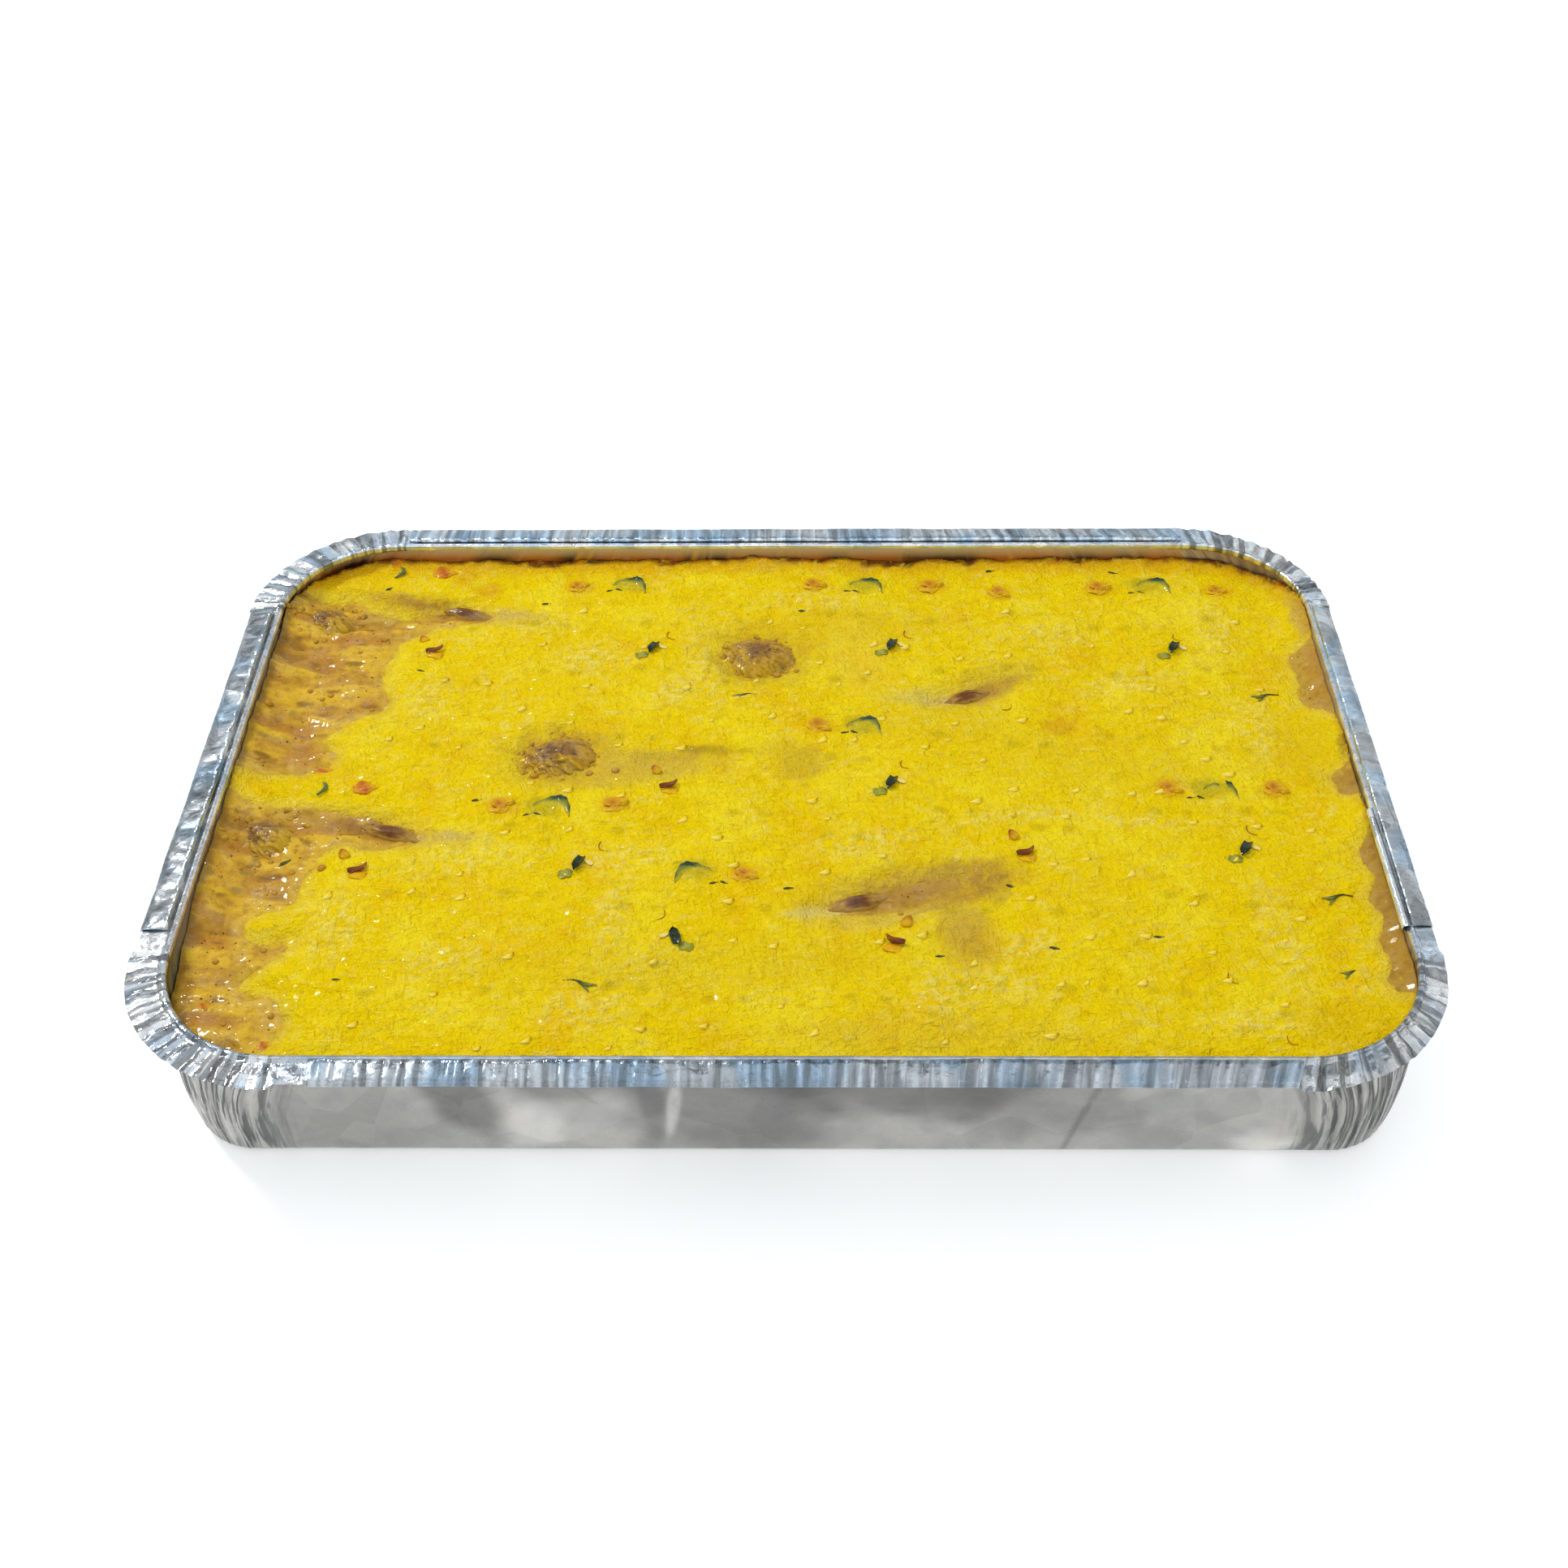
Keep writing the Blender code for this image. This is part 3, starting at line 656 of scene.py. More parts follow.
@dataclass
class TrayPlan:
    """The tray's wall in plan at every height, and places round it by distance along the rim."""

    height: float = 44 * MM
    rim_reach: float = 10 * MM
    taper_x: float = 1.8 * MM
    taper_y: float = 5.1 * MM
    top_radius: float = 31 * MM
    base_radius: float = 16.4 * MM
    radius_growth: float = 3.0
    right_shift: float = 3 * MM
    rim_root: float = 1.2 * MM
    half_x: float = field(init=False)
    half_y: float = field(init=False)

    def __post_init__(self) -> None:
        """Take the mouth's size from the frame and lay out the way round it."""
        low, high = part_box("foil_tray")
        self.half_x = (high[0] - low[0]) / 2 - self.rim_reach
        self.half_y = (high[1] - low[1]) / 2 - self.rim_reach
        long_side = 2 * (self.half_x - self.top_radius)
        short_side = 2 * (self.half_y - self.top_radius)
        bend = (self.top_radius + self.rim_reach / 2) * math.pi / 2
        legs = (0, long_side / 2, bend, short_side, bend, long_side, bend, short_side, bend, long_side / 2)
        self.stops = np.cumsum(legs)
        self.run_x = (0, -1, -1, -1, -1, 1, 1, 1, 1, 0)
        self.run_y = (1, 1, 1, -1, -1, -1, -1, 1, 1, 1)
        self.angles = np.radians((90, 90, 180, 180, 270, 270, 360, 360, 450, 450))

    @property
    def length(self) -> float:
        """Distance all the way round the rim."""
        return float(self.stops[-1])

    def size_at(self, height: Array) -> tuple[Array, Array, Array]:
        """Half sizes and corner radius of the wall's inner face at heights."""
        share = np.clip(height / self.height, 0.0, 1.0)
        half_x = self.half_x - self.taper_x * (1 - share)
        half_y = self.half_y - self.taper_y * (1 - share)
        radius = self.base_radius + (self.top_radius - self.base_radius) * share**self.radius_growth
        return half_x, half_y, radius

    def _body_point(self, along: Array, outward: Array, height: Array, shift: float) -> Array:
        """Points round the tray's body, with its right-hand end moved out by a shift."""
        half_x, half_y, radius = self.size_at(height)
        angle = np.interp(along, self.stops, self.angles)
        run_x = np.interp(along, self.stops, self.run_x)
        half_x = half_x + shift * (run_x > 0)
        x = run_x * (half_x - radius) + (radius + outward) * np.cos(angle)
        y = np.interp(along, self.stops, self.run_y) * (half_y - radius) + (radius + outward) * np.sin(angle)
        return np.stack([x, y, height], axis=1)

    def point(self, along: Array, outward: Array, height: Array) -> Array:
        """Points at distances along the rim, outward from the wall's inner face, at heights."""
        inner = self._body_point(along, np.minimum(outward, self.rim_root), height, self.right_shift)
        edge = self._body_point(along, np.full_like(along, self.rim_reach), height, 0.0)
        share = np.maximum(outward - self.rim_root, 0.0) / (self.rim_reach - self.rim_root)
        return inner + (edge - inner) * share[:, None]

    def side_x(self, along: Array) -> Array:
        """Outward direction across the tray at distances along the rim: 1 right, -1 left."""
        return np.cos(np.interp(along, self.stops, self.angles))

    def facing(self, along: Array) -> Array:
        """Painted shade of the rim at distances along it, as a brightness: darker in front and on the left.
        """
        angle = np.interp(along, self.stops, self.angles)
        front = smooth(0.0, 0.8, -np.sin(angle))
        left = smooth(0.5, 1.0, -np.cos(angle))
        return 1 - 0.38 * front - 0.12 * left * (1 - front)

    def corner_share(self, along: Array, fade: float) -> Array:
        """1 in a rounded corner, and fading to 0 within a distance along the straight sides."""
        gap = np.full_like(along, 1.0)
        for number in (1, 3, 5, 7):
            first, last = self.stops[number], self.stops[number + 1]
            gap = np.minimum(gap, np.maximum(np.maximum(first - along, along - last), 0.0))
        return 1 - smooth(0, fade, gap)

    def inside(self, x: Array, y: Array, height: float | Array) -> Array:
        """Distance in plan from the wall's inner face, positive inside the tray."""
        half_x, half_y, radius = self.size_at(np.asarray(height))
        across = np.abs(x) - (half_x + self.right_shift * (np.asarray(x) > 0) - radius)
        down = np.abs(y) - (half_y - radius)
        outer = np.hypot(np.maximum(across, 0), np.maximum(down, 0))
        inner = np.minimum(np.maximum(across, down), 0)
        return radius - (outer + inner)


class Creases:
    """Irregular folds along the rim: heights that change in straight lines between crease places."""

    def __init__(self, length: float, pitch: Span, rise: Span, step: float, seed: int) -> None:
        """Draw the creases.

        Args:
            length: distance round the rim.
            pitch: least and most distance between creases.
            rise: least and most height of a fold.
            step: spacing of the mesh along the rim, which the creases are snapped to.
            seed: start of the random draw.
        """
        rng = np.random.default_rng(seed)
        places, heights, side = [0.0], [0.0], 1.0
        while places[-1] < length - pitch.end:
            places.append(round((places[-1] + rng.uniform(pitch.start, pitch.end)) / step) * step)
            heights.append(side * rng.uniform(rise.start, rise.end))
            side = -side
        self.places = np.array([*places, length])
        self.heights = np.array([*heights, 0.0])

    def __call__(self, along: Array) -> Array:
        """The fold's height at distances along the rim."""
        return np.interp(along, self.places, self.heights)


# The folded strip in section, from the inner edge out over the top, under and back: outward and rise in mm
STRIP_SECTION = (
    (3.15, 0.22), (2.85, 0.42), (2.75, 0.85), (2.95, 1.28), (3.4, 1.42), (4.4, 1.34), (5.3, 1.2), (6.2, 1.06),
    (7.1, 0.9), (7.9, 0.72), (8.6, 0.46), (9.0, 0.12), (8.95, -0.25), (8.5, -0.42), (7.6, -0.44), (7.6, -0.3),
    (8.3, -0.26), (8.62, -0.05), (8.3, 0.34), (7.2, 0.62), (5.8, 0.72), (4.6, 0.6), (3.8, 0.3),
)


@dataclass
class FoilTray:
    """The tray: wall and floor, the crimped flange, and the strips folded back along its sides."""

    plan: TrayPlan
    foil: float = 0.3 * MM
    wall_step: float = 0.6 * MM
    rim_step: float = 0.4 * MM
    floor_bend: float = 3.6 * MM
    wall_rows: int = 13
    pleat_fade: float = 14 * MM
    rim_fade: float = 2.2 * MM
    # Place along x, height, half sizes and depth, in millimetres, of dents in the front wall
    dents: tuple = (
        (-70, 22, 15, 11, -0.9), (-46, 14, 12, 9, 0.5), (-22, 20, 3.0, 12, 0.7), (-29, 20, 5.0, 13, -0.7),
        (31, 27, 4, 4, -0.5), (66, 20, 2.5, 16, 0.35), (74, 22, 5, 14, -0.3), (118, 7, 10, 6, 0.8),
        (104, 12, 9, 9, -0.7), (5, 12, 30, 10, -0.35), (-105, 20, 14, 14, -0.4),
    )
    # Place along x, height, half sizes, lean and how much darker, of painted shade patches on the front wall;
    # where the amount is negative, a painted highlight
    painted_shade_patches: tuple = (
        (-77, 26, 9, 19, -0.35, 0.52), (-50, 33, 15, 10, 0.0, 0.44), (-12, 24, 26, 30, 0.0, 0.42),
        (28, 32, 34, 16, 0.0, 0.5), (60, 28, 28, 20, 0.0, 0.34), (-26, 22, 1.8, 15, 0.12, -0.9),
        (-61, 13, 9, 12, 0.3, -0.35), (116, 6, 8, 5, 0.0, -0.5), (-104, 18, 22, 22, 0.0, 0.26),
        (102, 20, 24, 26, 0.0, 0.1), (-31, 24, 3.0, 20, 0.0, 0.28), (71, 18, 1.0, 26, 0.2, 0.3),
        (0, 34, 130, 4, 0.0, 0.2),
    )

    def __post_init__(self) -> None:
        """Draw the folds and dents that all pieces share."""
        length = self.plan.length
        self.noise = Noise(11)
        deep, shallow = Span(0.12 * MM, 0.42 * MM), Span(0.03 * MM, 0.12 * MM)
        self.wall_folds = Creases(length, Span(1.3 * MM, 3.6 * MM), deep, self.wall_step, 5)
        rim_deep = Span(0.10 * MM, 0.42 * MM)
        self.rim_folds = Creases(length, Span(0.8 * MM, 3.2 * MM), rim_deep, self.rim_step, 8)
        self.crimps = Creases(length, Span(0.6 * MM, 2.6 * MM), shallow, self.rim_step, 21)

    def ripple(self, along: Array, across: Array, size: float, size_across: float | None = None) -> Array:
        """Noise along the rim that joins up where the rim's length starts again."""
        length = self.plan.length
        last = smooth(length - 20 * MM, length, along)
        ahead = self.noise(along, across, size, size_across)
        behind = self.noise(along - length, across, size, size_across)
        return ahead + last * (behind - ahead)

    def _wall_shift(self, along: Array, points: Array) -> Array:
        """How far the wall stands out from its plain shape: corner pleats, dents and waves."""
        height = points[:, 2]
        corner = self.plan.corner_share(along, self.pleat_fade)
        fade = 0.3 + 0.7 * smooth(2 * MM, 14 * MM, height)
        wander = self.ripple(along, height, 9 * MM, 16 * MM) * 1.6 * MM
        shift = (self.wall_folds(along + wander) + 0.42 * MM) * corner * fade
        wall = smooth(1 * MM, 8 * MM, height) * (1 - smooth(31 * MM, 37 * MM, height))
        front = (points[:, 1] < 0) & (np.abs(points[:, 0]) < self.plan.half_x - 10 * MM)
        for x, z, wide, tall, depth in self.dents:
            reach = ((points[:, 0] / MM - x) / wide) ** 2 + ((height / MM - z) / tall) ** 2
            shift += front * depth * MM * np.exp(-reach) * wall
        slow = self.ripple(along, height, 42 * MM, 26 * MM) * 1.1 * MM
        shift += slow * wall * (1 - corner)
        shift += self.ripple(along, height, 9 * MM, 12 * MM) * 0.22 * MM * wall
        return shift

    @staticmethod
    def fold_rows(brightness: Array, along: Array, outward: Array, strength: Array | float) -> Array:
        """Rows of painted shade as a brightness, distances along and outward, and how strongly fine folds
        show.
        """
        return np.stack([brightness, along, outward, np.clip(strength, 0.0, 1.0) + 0 * along], axis=1)

    @staticmethod
    def _fold_shade(folds: Creases, along: Array, reach: float, depth: float) -> Array:
        """Painted shade of pleats: darker in the valleys and on the flanks that face one way."""
        flank = (folds(along + reach) - folds(along - reach)) / MM
        valley = -folds(along) / MM
        dark = 0.62 * smooth(-0.05, 0.32, flank) + 0.38 * smooth(-0.1, 0.35, valley)
        return 1 - depth * dark

    def _wall_shade(self, along: Array, points: Array) -> Array:
        """Painted shade of the wall: darker pleats and streaks at the corners, painted shade and highlight
        patches in front, and darker at the very bottom.
        """
        x, height = points[:, 0] / MM, points[:, 2] / MM
        corner = self.plan.corner_share(along, self.pleat_fade)
        wander = self.ripple(along, points[:, 2], 9 * MM, 16 * MM) * 1.6 * MM
        shade_of = 1 - corner * (1 - self._fold_shade(self.wall_folds, along + wander, 0.5 * MM, 0.88))
        streaks = self.ripple(along, points[:, 2], 3.5 * MM, 40 * MM)
        shade_of *= 1 - 0.3 * corner * smooth(0.0, 0.5, streaks)
        front = points[:, 1] < 0
        for place, level, wide, tall, lean, amount in self.painted_shade_patches:
            u = (x - place - lean * (height - level)) / wide
            v = (height - level) / tall
            edge = np.hypot(u, v) + 0.3 * self.noise(x, height, 9.0)
            shade_of *= 1 - amount * front * (1 - smooth(0.55, 1.25, edge))
        return shade_of * (1 - 0.5 * (1 - smooth(0.6, 2.2, height)))

    def _wall_section(self) -> tuple[Array, Array]:
        """The wall and floor edge in section: outside from the floor up, then inside back down."""
        bend = np.radians(np.linspace(-90, 0, 6))
        out = [(-self.floor_bend * (1 - math.cos(a)), self.floor_bend * (1 + math.sin(a))) for a in bend]
        levels = np.linspace(self.floor_bend, self.plan.height - 0.7 * MM, self.wall_rows)[1:]
        outside = [(self.foil + outward, height) for outward, height in out]
        outside += [(self.foil, height) for height in levels]
        inside = [(0.0, height) for height in levels[::-1]]
        inside += [
            (outward, height + self.foil * (1 - height / self.floor_bend)) for outward, height in out[::-1]
        ]
        section = np.array(outside + inside)
        return section[:, 0], section[:, 1]

    def wall(self) -> Piece:
        """Floor and wall as one thin closed sheet."""
        outward, height = self._wall_section()
        count = len(outward) - 1
        columns = round(self.plan.length / self.wall_step)

        def shape(u: Array, v: Array) -> Array:
            row = rows_at(v, count)
            along = u * self.plan.length
            points = self.plan.point(along, outward[row], height[row])
            return self.plan.point(along, outward[row] + self._wall_shift(along, points), height[row])

        # the painted shade of the wall, with the places of its folds, for the attribute fold
        def painted_shade_rows(u: Array, v: Array) -> Array:
            row = rows_at(v, count)
            along = u * self.plan.length
            points = self.plan.point(along, outward[row], height[row])
            corner = self.plan.corner_share(along, self.pleat_fade)
            return self.fold_rows(self._wall_shade(along, points), along, height[row], corner)

        wall = wrapped_grid("tray_wall", columns, count, shape, painted_shade_rows)
        close_up(wall, fill=True)
        shade(wall, 32)
        self._paint_grease_and_sheen(wall)
        return wall

    def _faces_in(self, wall: Piece, points: Array) -> Array:
        """Whether each of the wall's vertices looks into the tray."""
        normals = np.empty(len(points) * 3, dtype=np.float32)
        wall.data.vertices.foreach_get("normal", normals)
        normals = normals.reshape(-1, 3)
        step, level = 0.1 * MM, self.plan.height
        x, y = points[:, 0], points[:, 1]
        slope_x = self.plan.inside(x + step, y, level) - self.plan.inside(x - step, y, level)
        slope_y = self.plan.inside(x, y + step, level) - self.plan.inside(x, y - step, level)
        return normals[:, 0] * slope_x + normals[:, 1] * slope_y > 0

    def _paint_grease_and_sheen(self, wall: Piece) -> None:
        """Paint the baked-on greasy crust that shows on the inner face above the food, with a painted
        highlight along the top at the back and a painted reflection of the food on the right.
        """
        points = read_points(wall)
        x, y, z = points.T / MM
        noise = Noise(31)
        blotch = 0.7 * noise(x, y, 9.0) + 0.7 * noise(x, y + 3 * z, 3.2) + 0.4 * noise(x, z, 1.3)
        upper = self._faces_in(wall, points) & (z > 30)
        colours = np.tile(srgb(150, 118, 60), (len(points), 1))
        share = np.zeros(len(points))
        back = upper & (y > 80)
        share[back] = 0.85 + 0.4 * blotch[back]
        colours[back] = layered(
            srgb(158, 110, 20),
            (srgb(206, 138, 14), smooth(0.0, 0.35, blotch[back])),
            (srgb(112, 84, 44), smooth(0.05, 0.4, -blotch[back])),
            # a pale band along the top: painted highlight
            (srgb(196, 172, 116), smooth(42.0, 42.8, z[back] - 1.6 * blotch[back])),
        )
        crust = back * (1 - smooth(40.2, 42.0, z + 3.4 * blotch))
        rust = layered(srgb(172, 96, 20), (srgb(64, 26, 10), smooth(-0.05, 0.3, noise(x, y, 15.0))))
        colours = layered(colours, (rust, crust))
        share = np.maximum(share, crust)
        left = upper & (x < -120) & (y < 80)
        colours[left] = layered(srgb(112, 98, 50), (srgb(150, 142, 92), 0.5 + blotch[left]))
        share[left] = (0.72 + 0.4 * blotch[left]) * (1 - 0.6 * smooth(-52, -40, y[left]))
        burnt = upper & (x < -128) & (y < -40)
        colours = layered(colours, (srgb(120, 62, 22), burnt * smooth(42.2, 43.2, z + 0.6 * blotch)))
        right = upper & (x > 120)
        # tan where the foil mirrors the food: painted reflection; dark olive food grime elsewhere
        food_reflection = smooth(8, 20, y[right]) + smooth(-18, -26, y[right])
        colours[right] = layered(srgb(112, 92, 44), (srgb(186, 158, 116), food_reflection))
        share[right] = 0.85 + 0.4 * blotch[right]
        paint(wall, np.hstack([colours, (np.clip(share, 0.0, 1.0) * upper)[:, None]]), "grease_and_sheen")

    def flange(self) -> Piece:
        """The flat rim all the way round, pleated and wider at the corners."""
        root = (
            (-0.05, -1.0), (0.0, -0.4), (0.15, 0.1), (0.5, 0.42), (0.95, 0.52), (1.4, 0.42), (1.8, 0.12),
            (2.4, -0.02),
        )
        under = ((0.95, -0.33), (0.8, -0.34), (0.6, -0.34), (0.4, -0.34), (0.28, -0.36))
        foot = ((1.2, -0.5), (0.62, -0.75), (0.42, -1.3), (0.12, -1.5))
        # Outward in metres, outward as a share of the rim's reach, and rise in millimetres
        rows = [(outward * MM, 0.0, rise) for outward, rise in root]
        rows += [(0.0, share, 0.0) for share in np.linspace(0.3, 1.0, 12)]
        rows += [(0.0, share, rise) for share, rise in under]
        rows += [(outward * MM, 0.0, rise) for outward, rise in foot]
        table = np.array([*rows, rows[0]])
        count = len(rows)
        columns = round(self.plan.length / self.rim_step)

        def shape(u: Array, v: Array) -> Array:
            row = rows_at(v, count)
            along = u * self.plan.length
            corner = self.plan.corner_share(along, self.rim_fade)
            edge = (8.5 + 1.2 * corner) * MM + self.ripple(along, along * 0, 6 * MM) * 0.35 * MM * corner
            outward = table[row, 0] + table[row, 1] * edge
            rise = table[row, 2] * MM
            out_share = smooth(0.0, 5.5 * MM, outward)
            wander = self.ripple(along, outward, 4.5 * MM, 5 * MM) * 1.5 * MM * out_share
            rise += self.rim_folds(along + wander) * corner * (0.3 + 0.9 * out_share)
            rise -= 0.35 * MM * corner * smooth(0.6, 1.0, table[row, 1]) * (table[row, 1] > 0)
            rise += self.ripple(along, outward, 2.6 * MM, 3.4 * MM) * 0.16 * MM * out_share
            rise += self.ripple(along, outward * 0, 24 * MM) * 0.7 * MM * corner * out_share
            points = self.plan.point(along, outward, np.full_like(u, self.plan.height))
            points[:, 2] += rise
            return points

        def painted_shade_rows(u: Array, v: Array) -> Array:
            row = rows_at(v, count)
            along = u * self.plan.length
            outward = table[row, 0] + table[row, 1] * 9 * MM
            corner = self.plan.corner_share(along, self.rim_fade)
            wander = self.ripple(along, outward, 4.5 * MM, 5 * MM) * 1.5 * MM
            folds = self._fold_shade(self.rim_folds, along + wander, 0.35 * MM, 0.72)
            patch = smooth(-0.1, 0.3, self.ripple(along, outward, 8 * MM, 14 * MM))
            ledge = (1 - corner) * (outward < 2.8 * MM) * (np.abs(self.plan.side_x(along)) > 0.5)
            # painted shade: darker pleat valleys, flanks and patches at the corners, darker in front and on
            # the left, and a lighter ledge on the left and right ends
            brightness = 1 - corner * (1 - folds) * (0.55 + 0.45 * patch) - 0.12 * corner * patch
            brightness = brightness * (self.plan.facing(along) + 0.2 * corner) + 0.2 * ledge
            return self.fold_rows(brightness, along, outward, 0.15 + 0.85 * corner)

        flange = wrapped_grid("tray_flange", columns, count, shape, painted_shade_rows)
        close_up(flange)
        shade(flange, 24)
        return flange

    def strips(self) -> Piece:
        """The four strips where the flange is folded back over itself."""
        stops = self.plan.stops
        left, front, right = ((stops[number] + stops[number + 1]) / 2 for number in (2, 4, 6))
        pieces = [
            self._strip("back", -stops[1] * 0.995, stops[1] * 0.99, 1.0, 0.8),
            self._strip("left", left - 66.5 * MM, left + 60 * MM, 0.15, 0.6),
            self._strip("front", front - 108 * MM, front + 115.5 * MM, 1.0, 0.9),
            self._strip("right", right - 58.5 * MM, right + 67 * MM, 0.15, 1.6),
            self._rolled_edge(),
        ]
        strips = join("tray_strips", pieces)
        close_up(strips)
        shade(strips, 24)
        return strips

    def _strip(self, name: str, start: float, end: float, crimped: float, pull: float) -> Piece:
        """One folded strip.

        Args:
            name: the side of the tray.
            start: where it begins, as a distance along the rim.
            end: where it ends.
            crimped: how far crimps take the place of dents, from 0 to 1.
            pull: how far its inner edge is pulled in, in millimetres.

        Returns:
            The strip.
        """
        section = np.array([*STRIP_SECTION, STRIP_SECTION[0]]) * MM
        count = len(STRIP_SECTION)

        def shape(u: Array, v: Array) -> Array:
            row = rows_at(v, count)
            along = (start + u * (end - start)) % self.plan.length
            outward, rise = section[row, 0].copy(), section[row, 1].copy()
            lifted = smooth(0.2 * MM, 1.0 * MM, rise)
            lean = smooth(9 * MM, 3 * MM, outward)
            rough = (0.10 + 0.14 * (1 - crimped)) * MM
            rise += self.crimps(along) * crimped * lifted
            rise += self.ripple(along, outward, 3.2 * MM, 4.0 * MM) * rough * lifted
            rise += self.ripple(along + 0.6 * outward, along * 0, 17 * MM) * 0.42 * MM * lean * lifted
            outward += self.ripple(along, along * 0, 15 * MM) * 0.35 * MM * (1 - lean)
            outward += (self.ripple(along, along * 0 + 5, 30 * MM) * 0.3 - pull) * MM * lean
            rise -= (1 - smooth(0, 3 * MM, np.minimum(u, 1 - u) * (end - start))) * 0.25 * MM * lifted
            points = self.plan.point(along, outward, np.full_like(u, self.plan.height))
            points[:, 2] += np.minimum(rise, 1.62 * MM)
            return points

        def painted_shade_rows(u: Array, v: Array) -> Array:
            outward = section[rows_at(v, count), 0]
            unbroken = start + u * (end - start)
            along = unbroken % self.plan.length
            slant = along + 0.12 * outward * np.sin(along * 130)
            uneven = 0.05 * self.ripple(along, outward, 9 * MM)
            crimp_shade = smooth(-0.03, 0.07, self.crimps(slant) / MM + uneven)
            hammer_shade = smooth(-0.2, 0.2, self.ripple(along + outward, outward, 13 * MM, 6 * MM))
            # painted shade: light and dark bands along the crimps, broad lighter and darker patches on the
            # dented strips, all darker in front and on the left
            brightness = (0.7 + 0.34 * crimp_shade) * crimped + (0.66 + 0.4 * hammer_shade) * (1 - crimped)
            return self.fold_rows(brightness * self.plan.facing(along), unbroken, outward, crimped)

        strip = wrapped_grid(f"strip_{name}", round((end - start) / self.rim_step), count, shape, painted_shade_rows)
        close_up(strip, fill=True)
        return strip

    def _rolled_edge(self) -> Piece:
        """The rolled inner edge of the right-hand strip, an open tube with painted shade, near black, at its
        open end in front.
        """
        # Radius and place along y in millimetres, and brightness, which is painted light and shade, near
        # black at the open end
        rows = (
            (0.9, -18, 1.15), (1.1, -30, 1.15), (1.2, -59, 1.15), (0.95, -59.4, 1.0), (0.85, -58, 0.03),
            (0.05, -57, 0.02),
        )
        table = np.array(rows)
        count = len(rows) - 1
        first, middle = 150.7 * MM, self.plan.height + 0.36 * MM

        def shape(u: Array, v: Array) -> Array:
            radius, y, _ = (table[rows_at(v, count)] * (MM, MM, 1)).T
            turn = u * 2 * math.pi
            return np.stack([first + radius * np.cos(turn), y, middle + radius * np.sin(turn)], axis=1)

        def painted_shade_rows(u: Array, v: Array) -> Array:
            # painted light on the side that faces into the tray, painted shade on the other
            inner_side = smooth(-0.35, 0.1, -np.cos(u * 2 * math.pi))
            brightness = table[rows_at(v, count), 2] * (0.35 + 0.75 * inner_side)
            return self.fold_rows(brightness, 0 * u, 0 * u, 0 * u)

        tube = wrapped_grid("rolled_edge", 20, count, shape, painted_shade_rows)
        close_up(tube, fill=True)
        return tube

    def build(self, effects: Effects) -> None:
        """Make and dress the tray's pieces."""
        satin = FoilFinish(
            "foil_wall", srgb(184, 181, 176), srgb(172, 171, 168), 0.34, 60.0, 0.25 * MM, 0.93, 0.85,
            streak_scale=600.0, streak_depth=0.3 * MM, has_grease_and_sheen=True,
        )
        bright = FoilFinish(
            "foil_rim", srgb(232, 234, 236), srgb(206, 218, 232), 0.18, 300.0, 0.12 * MM, 0.75, 0.65,
        )
        hammered = FoilFinish(
            "foil_strip", srgb(226, 234, 242), srgb(188, 214, 238), 0.20, 130.0, 0.3 * MM, 0.6, 0.5,
        )
        for make, finish in ((self.wall, satin), (self.flange, bright), (self.strips, hammered)):
            material = finish.build(effects)
            set_out(make(), material, ["foil_tray"])


# The corners of each gap in the mash, in millimetres, as the frame's solids have them
GAPS = {
    "upper_left": (
        (-160, 77), (-138, 80), (-128, 79), (-120, 74), (-111, 73), (-101, 76), (-88, 73),
        (-93, 70), (-104, 67), (-113, 60), (-116, 44), (-113, 33), (-121, 26), (-128, 18),
        (-123, 11), (-130, 6), (-160, 7),
    ),
    "lower_left": (
        (-160, -9), (-140, -10), (-126, -10), (-114, -12), (-104, -15), (-94, -20), (-104, -24),
        (-119, -25), (-123, -38), (-126, -46), (-134, -50), (-133, -57), (-122, -58), (-129, -67),
        (-132, -72), (-122, -78), (-119, -86), (-128, -94), (-160, -96),
    ),
    "upper_right": ((160, 56), (146, 54), (144.2, 49), (144.8, 40), (144, 32), (148.5, 26), (160, 21)),
    "middle_right": ((160, 5), (147, 2), (146.8, -3), (148, -8), (160, -11)),
    "lower_right": (
        (160, -20), (149.5, -24), (147.2, -32), (147.8, -40), (146.5, -46), (147.5, -51),
        (146.3, -58), (146.2, -67), (145.2, -72), (148, -76), (160, -77),
    ),
    "crack_behind": ((41, 33.5), (46, 37), (53, 39), (60, 40), (57, 35.5), (50, 33.5)),
    "crack_ahead": ((9, -46), (15, -42), (24, -40), (36, -36), (44, -36), (38, -42), (28, -46), (18, -47.5)),
}


# Centre and half sizes, in millimetres, of the hollows in the mash round the two lumps
BASINS = ((-8, 53, 12.5, 11), (-62, 10, 12.5, 11))


@dataclass(frozen=True)
class Stain:
    """A soft-edged patch of another colour: centre, half sizes and turn, in millimetres and degrees."""

    x: float
    y: float
    wide: float
    deep: float
    turn: float
    colour: Colour
    share: float
    soft: float = 0.5

    def cover(self, x: Array, y: Array, warp: Array) -> Array:
        """How much of the patch covers each point.

        Args:
            x: places across, in millimetres.
            y: places back, in millimetres.
            warp: unevenness of the edge.

        Returns:
            Shares from 0 to the patch's own.
        """
        turn = math.radians(self.turn)
        across, back = x - self.x, y - self.y
        u = (across * math.cos(turn) + back * math.sin(turn)) / self.wide
        v = (back * math.cos(turn) - across * math.sin(turn)) / self.deep
        return self.share * (1 - smooth(1 - self.soft, 1 + self.soft, np.hypot(u, v) + warp))


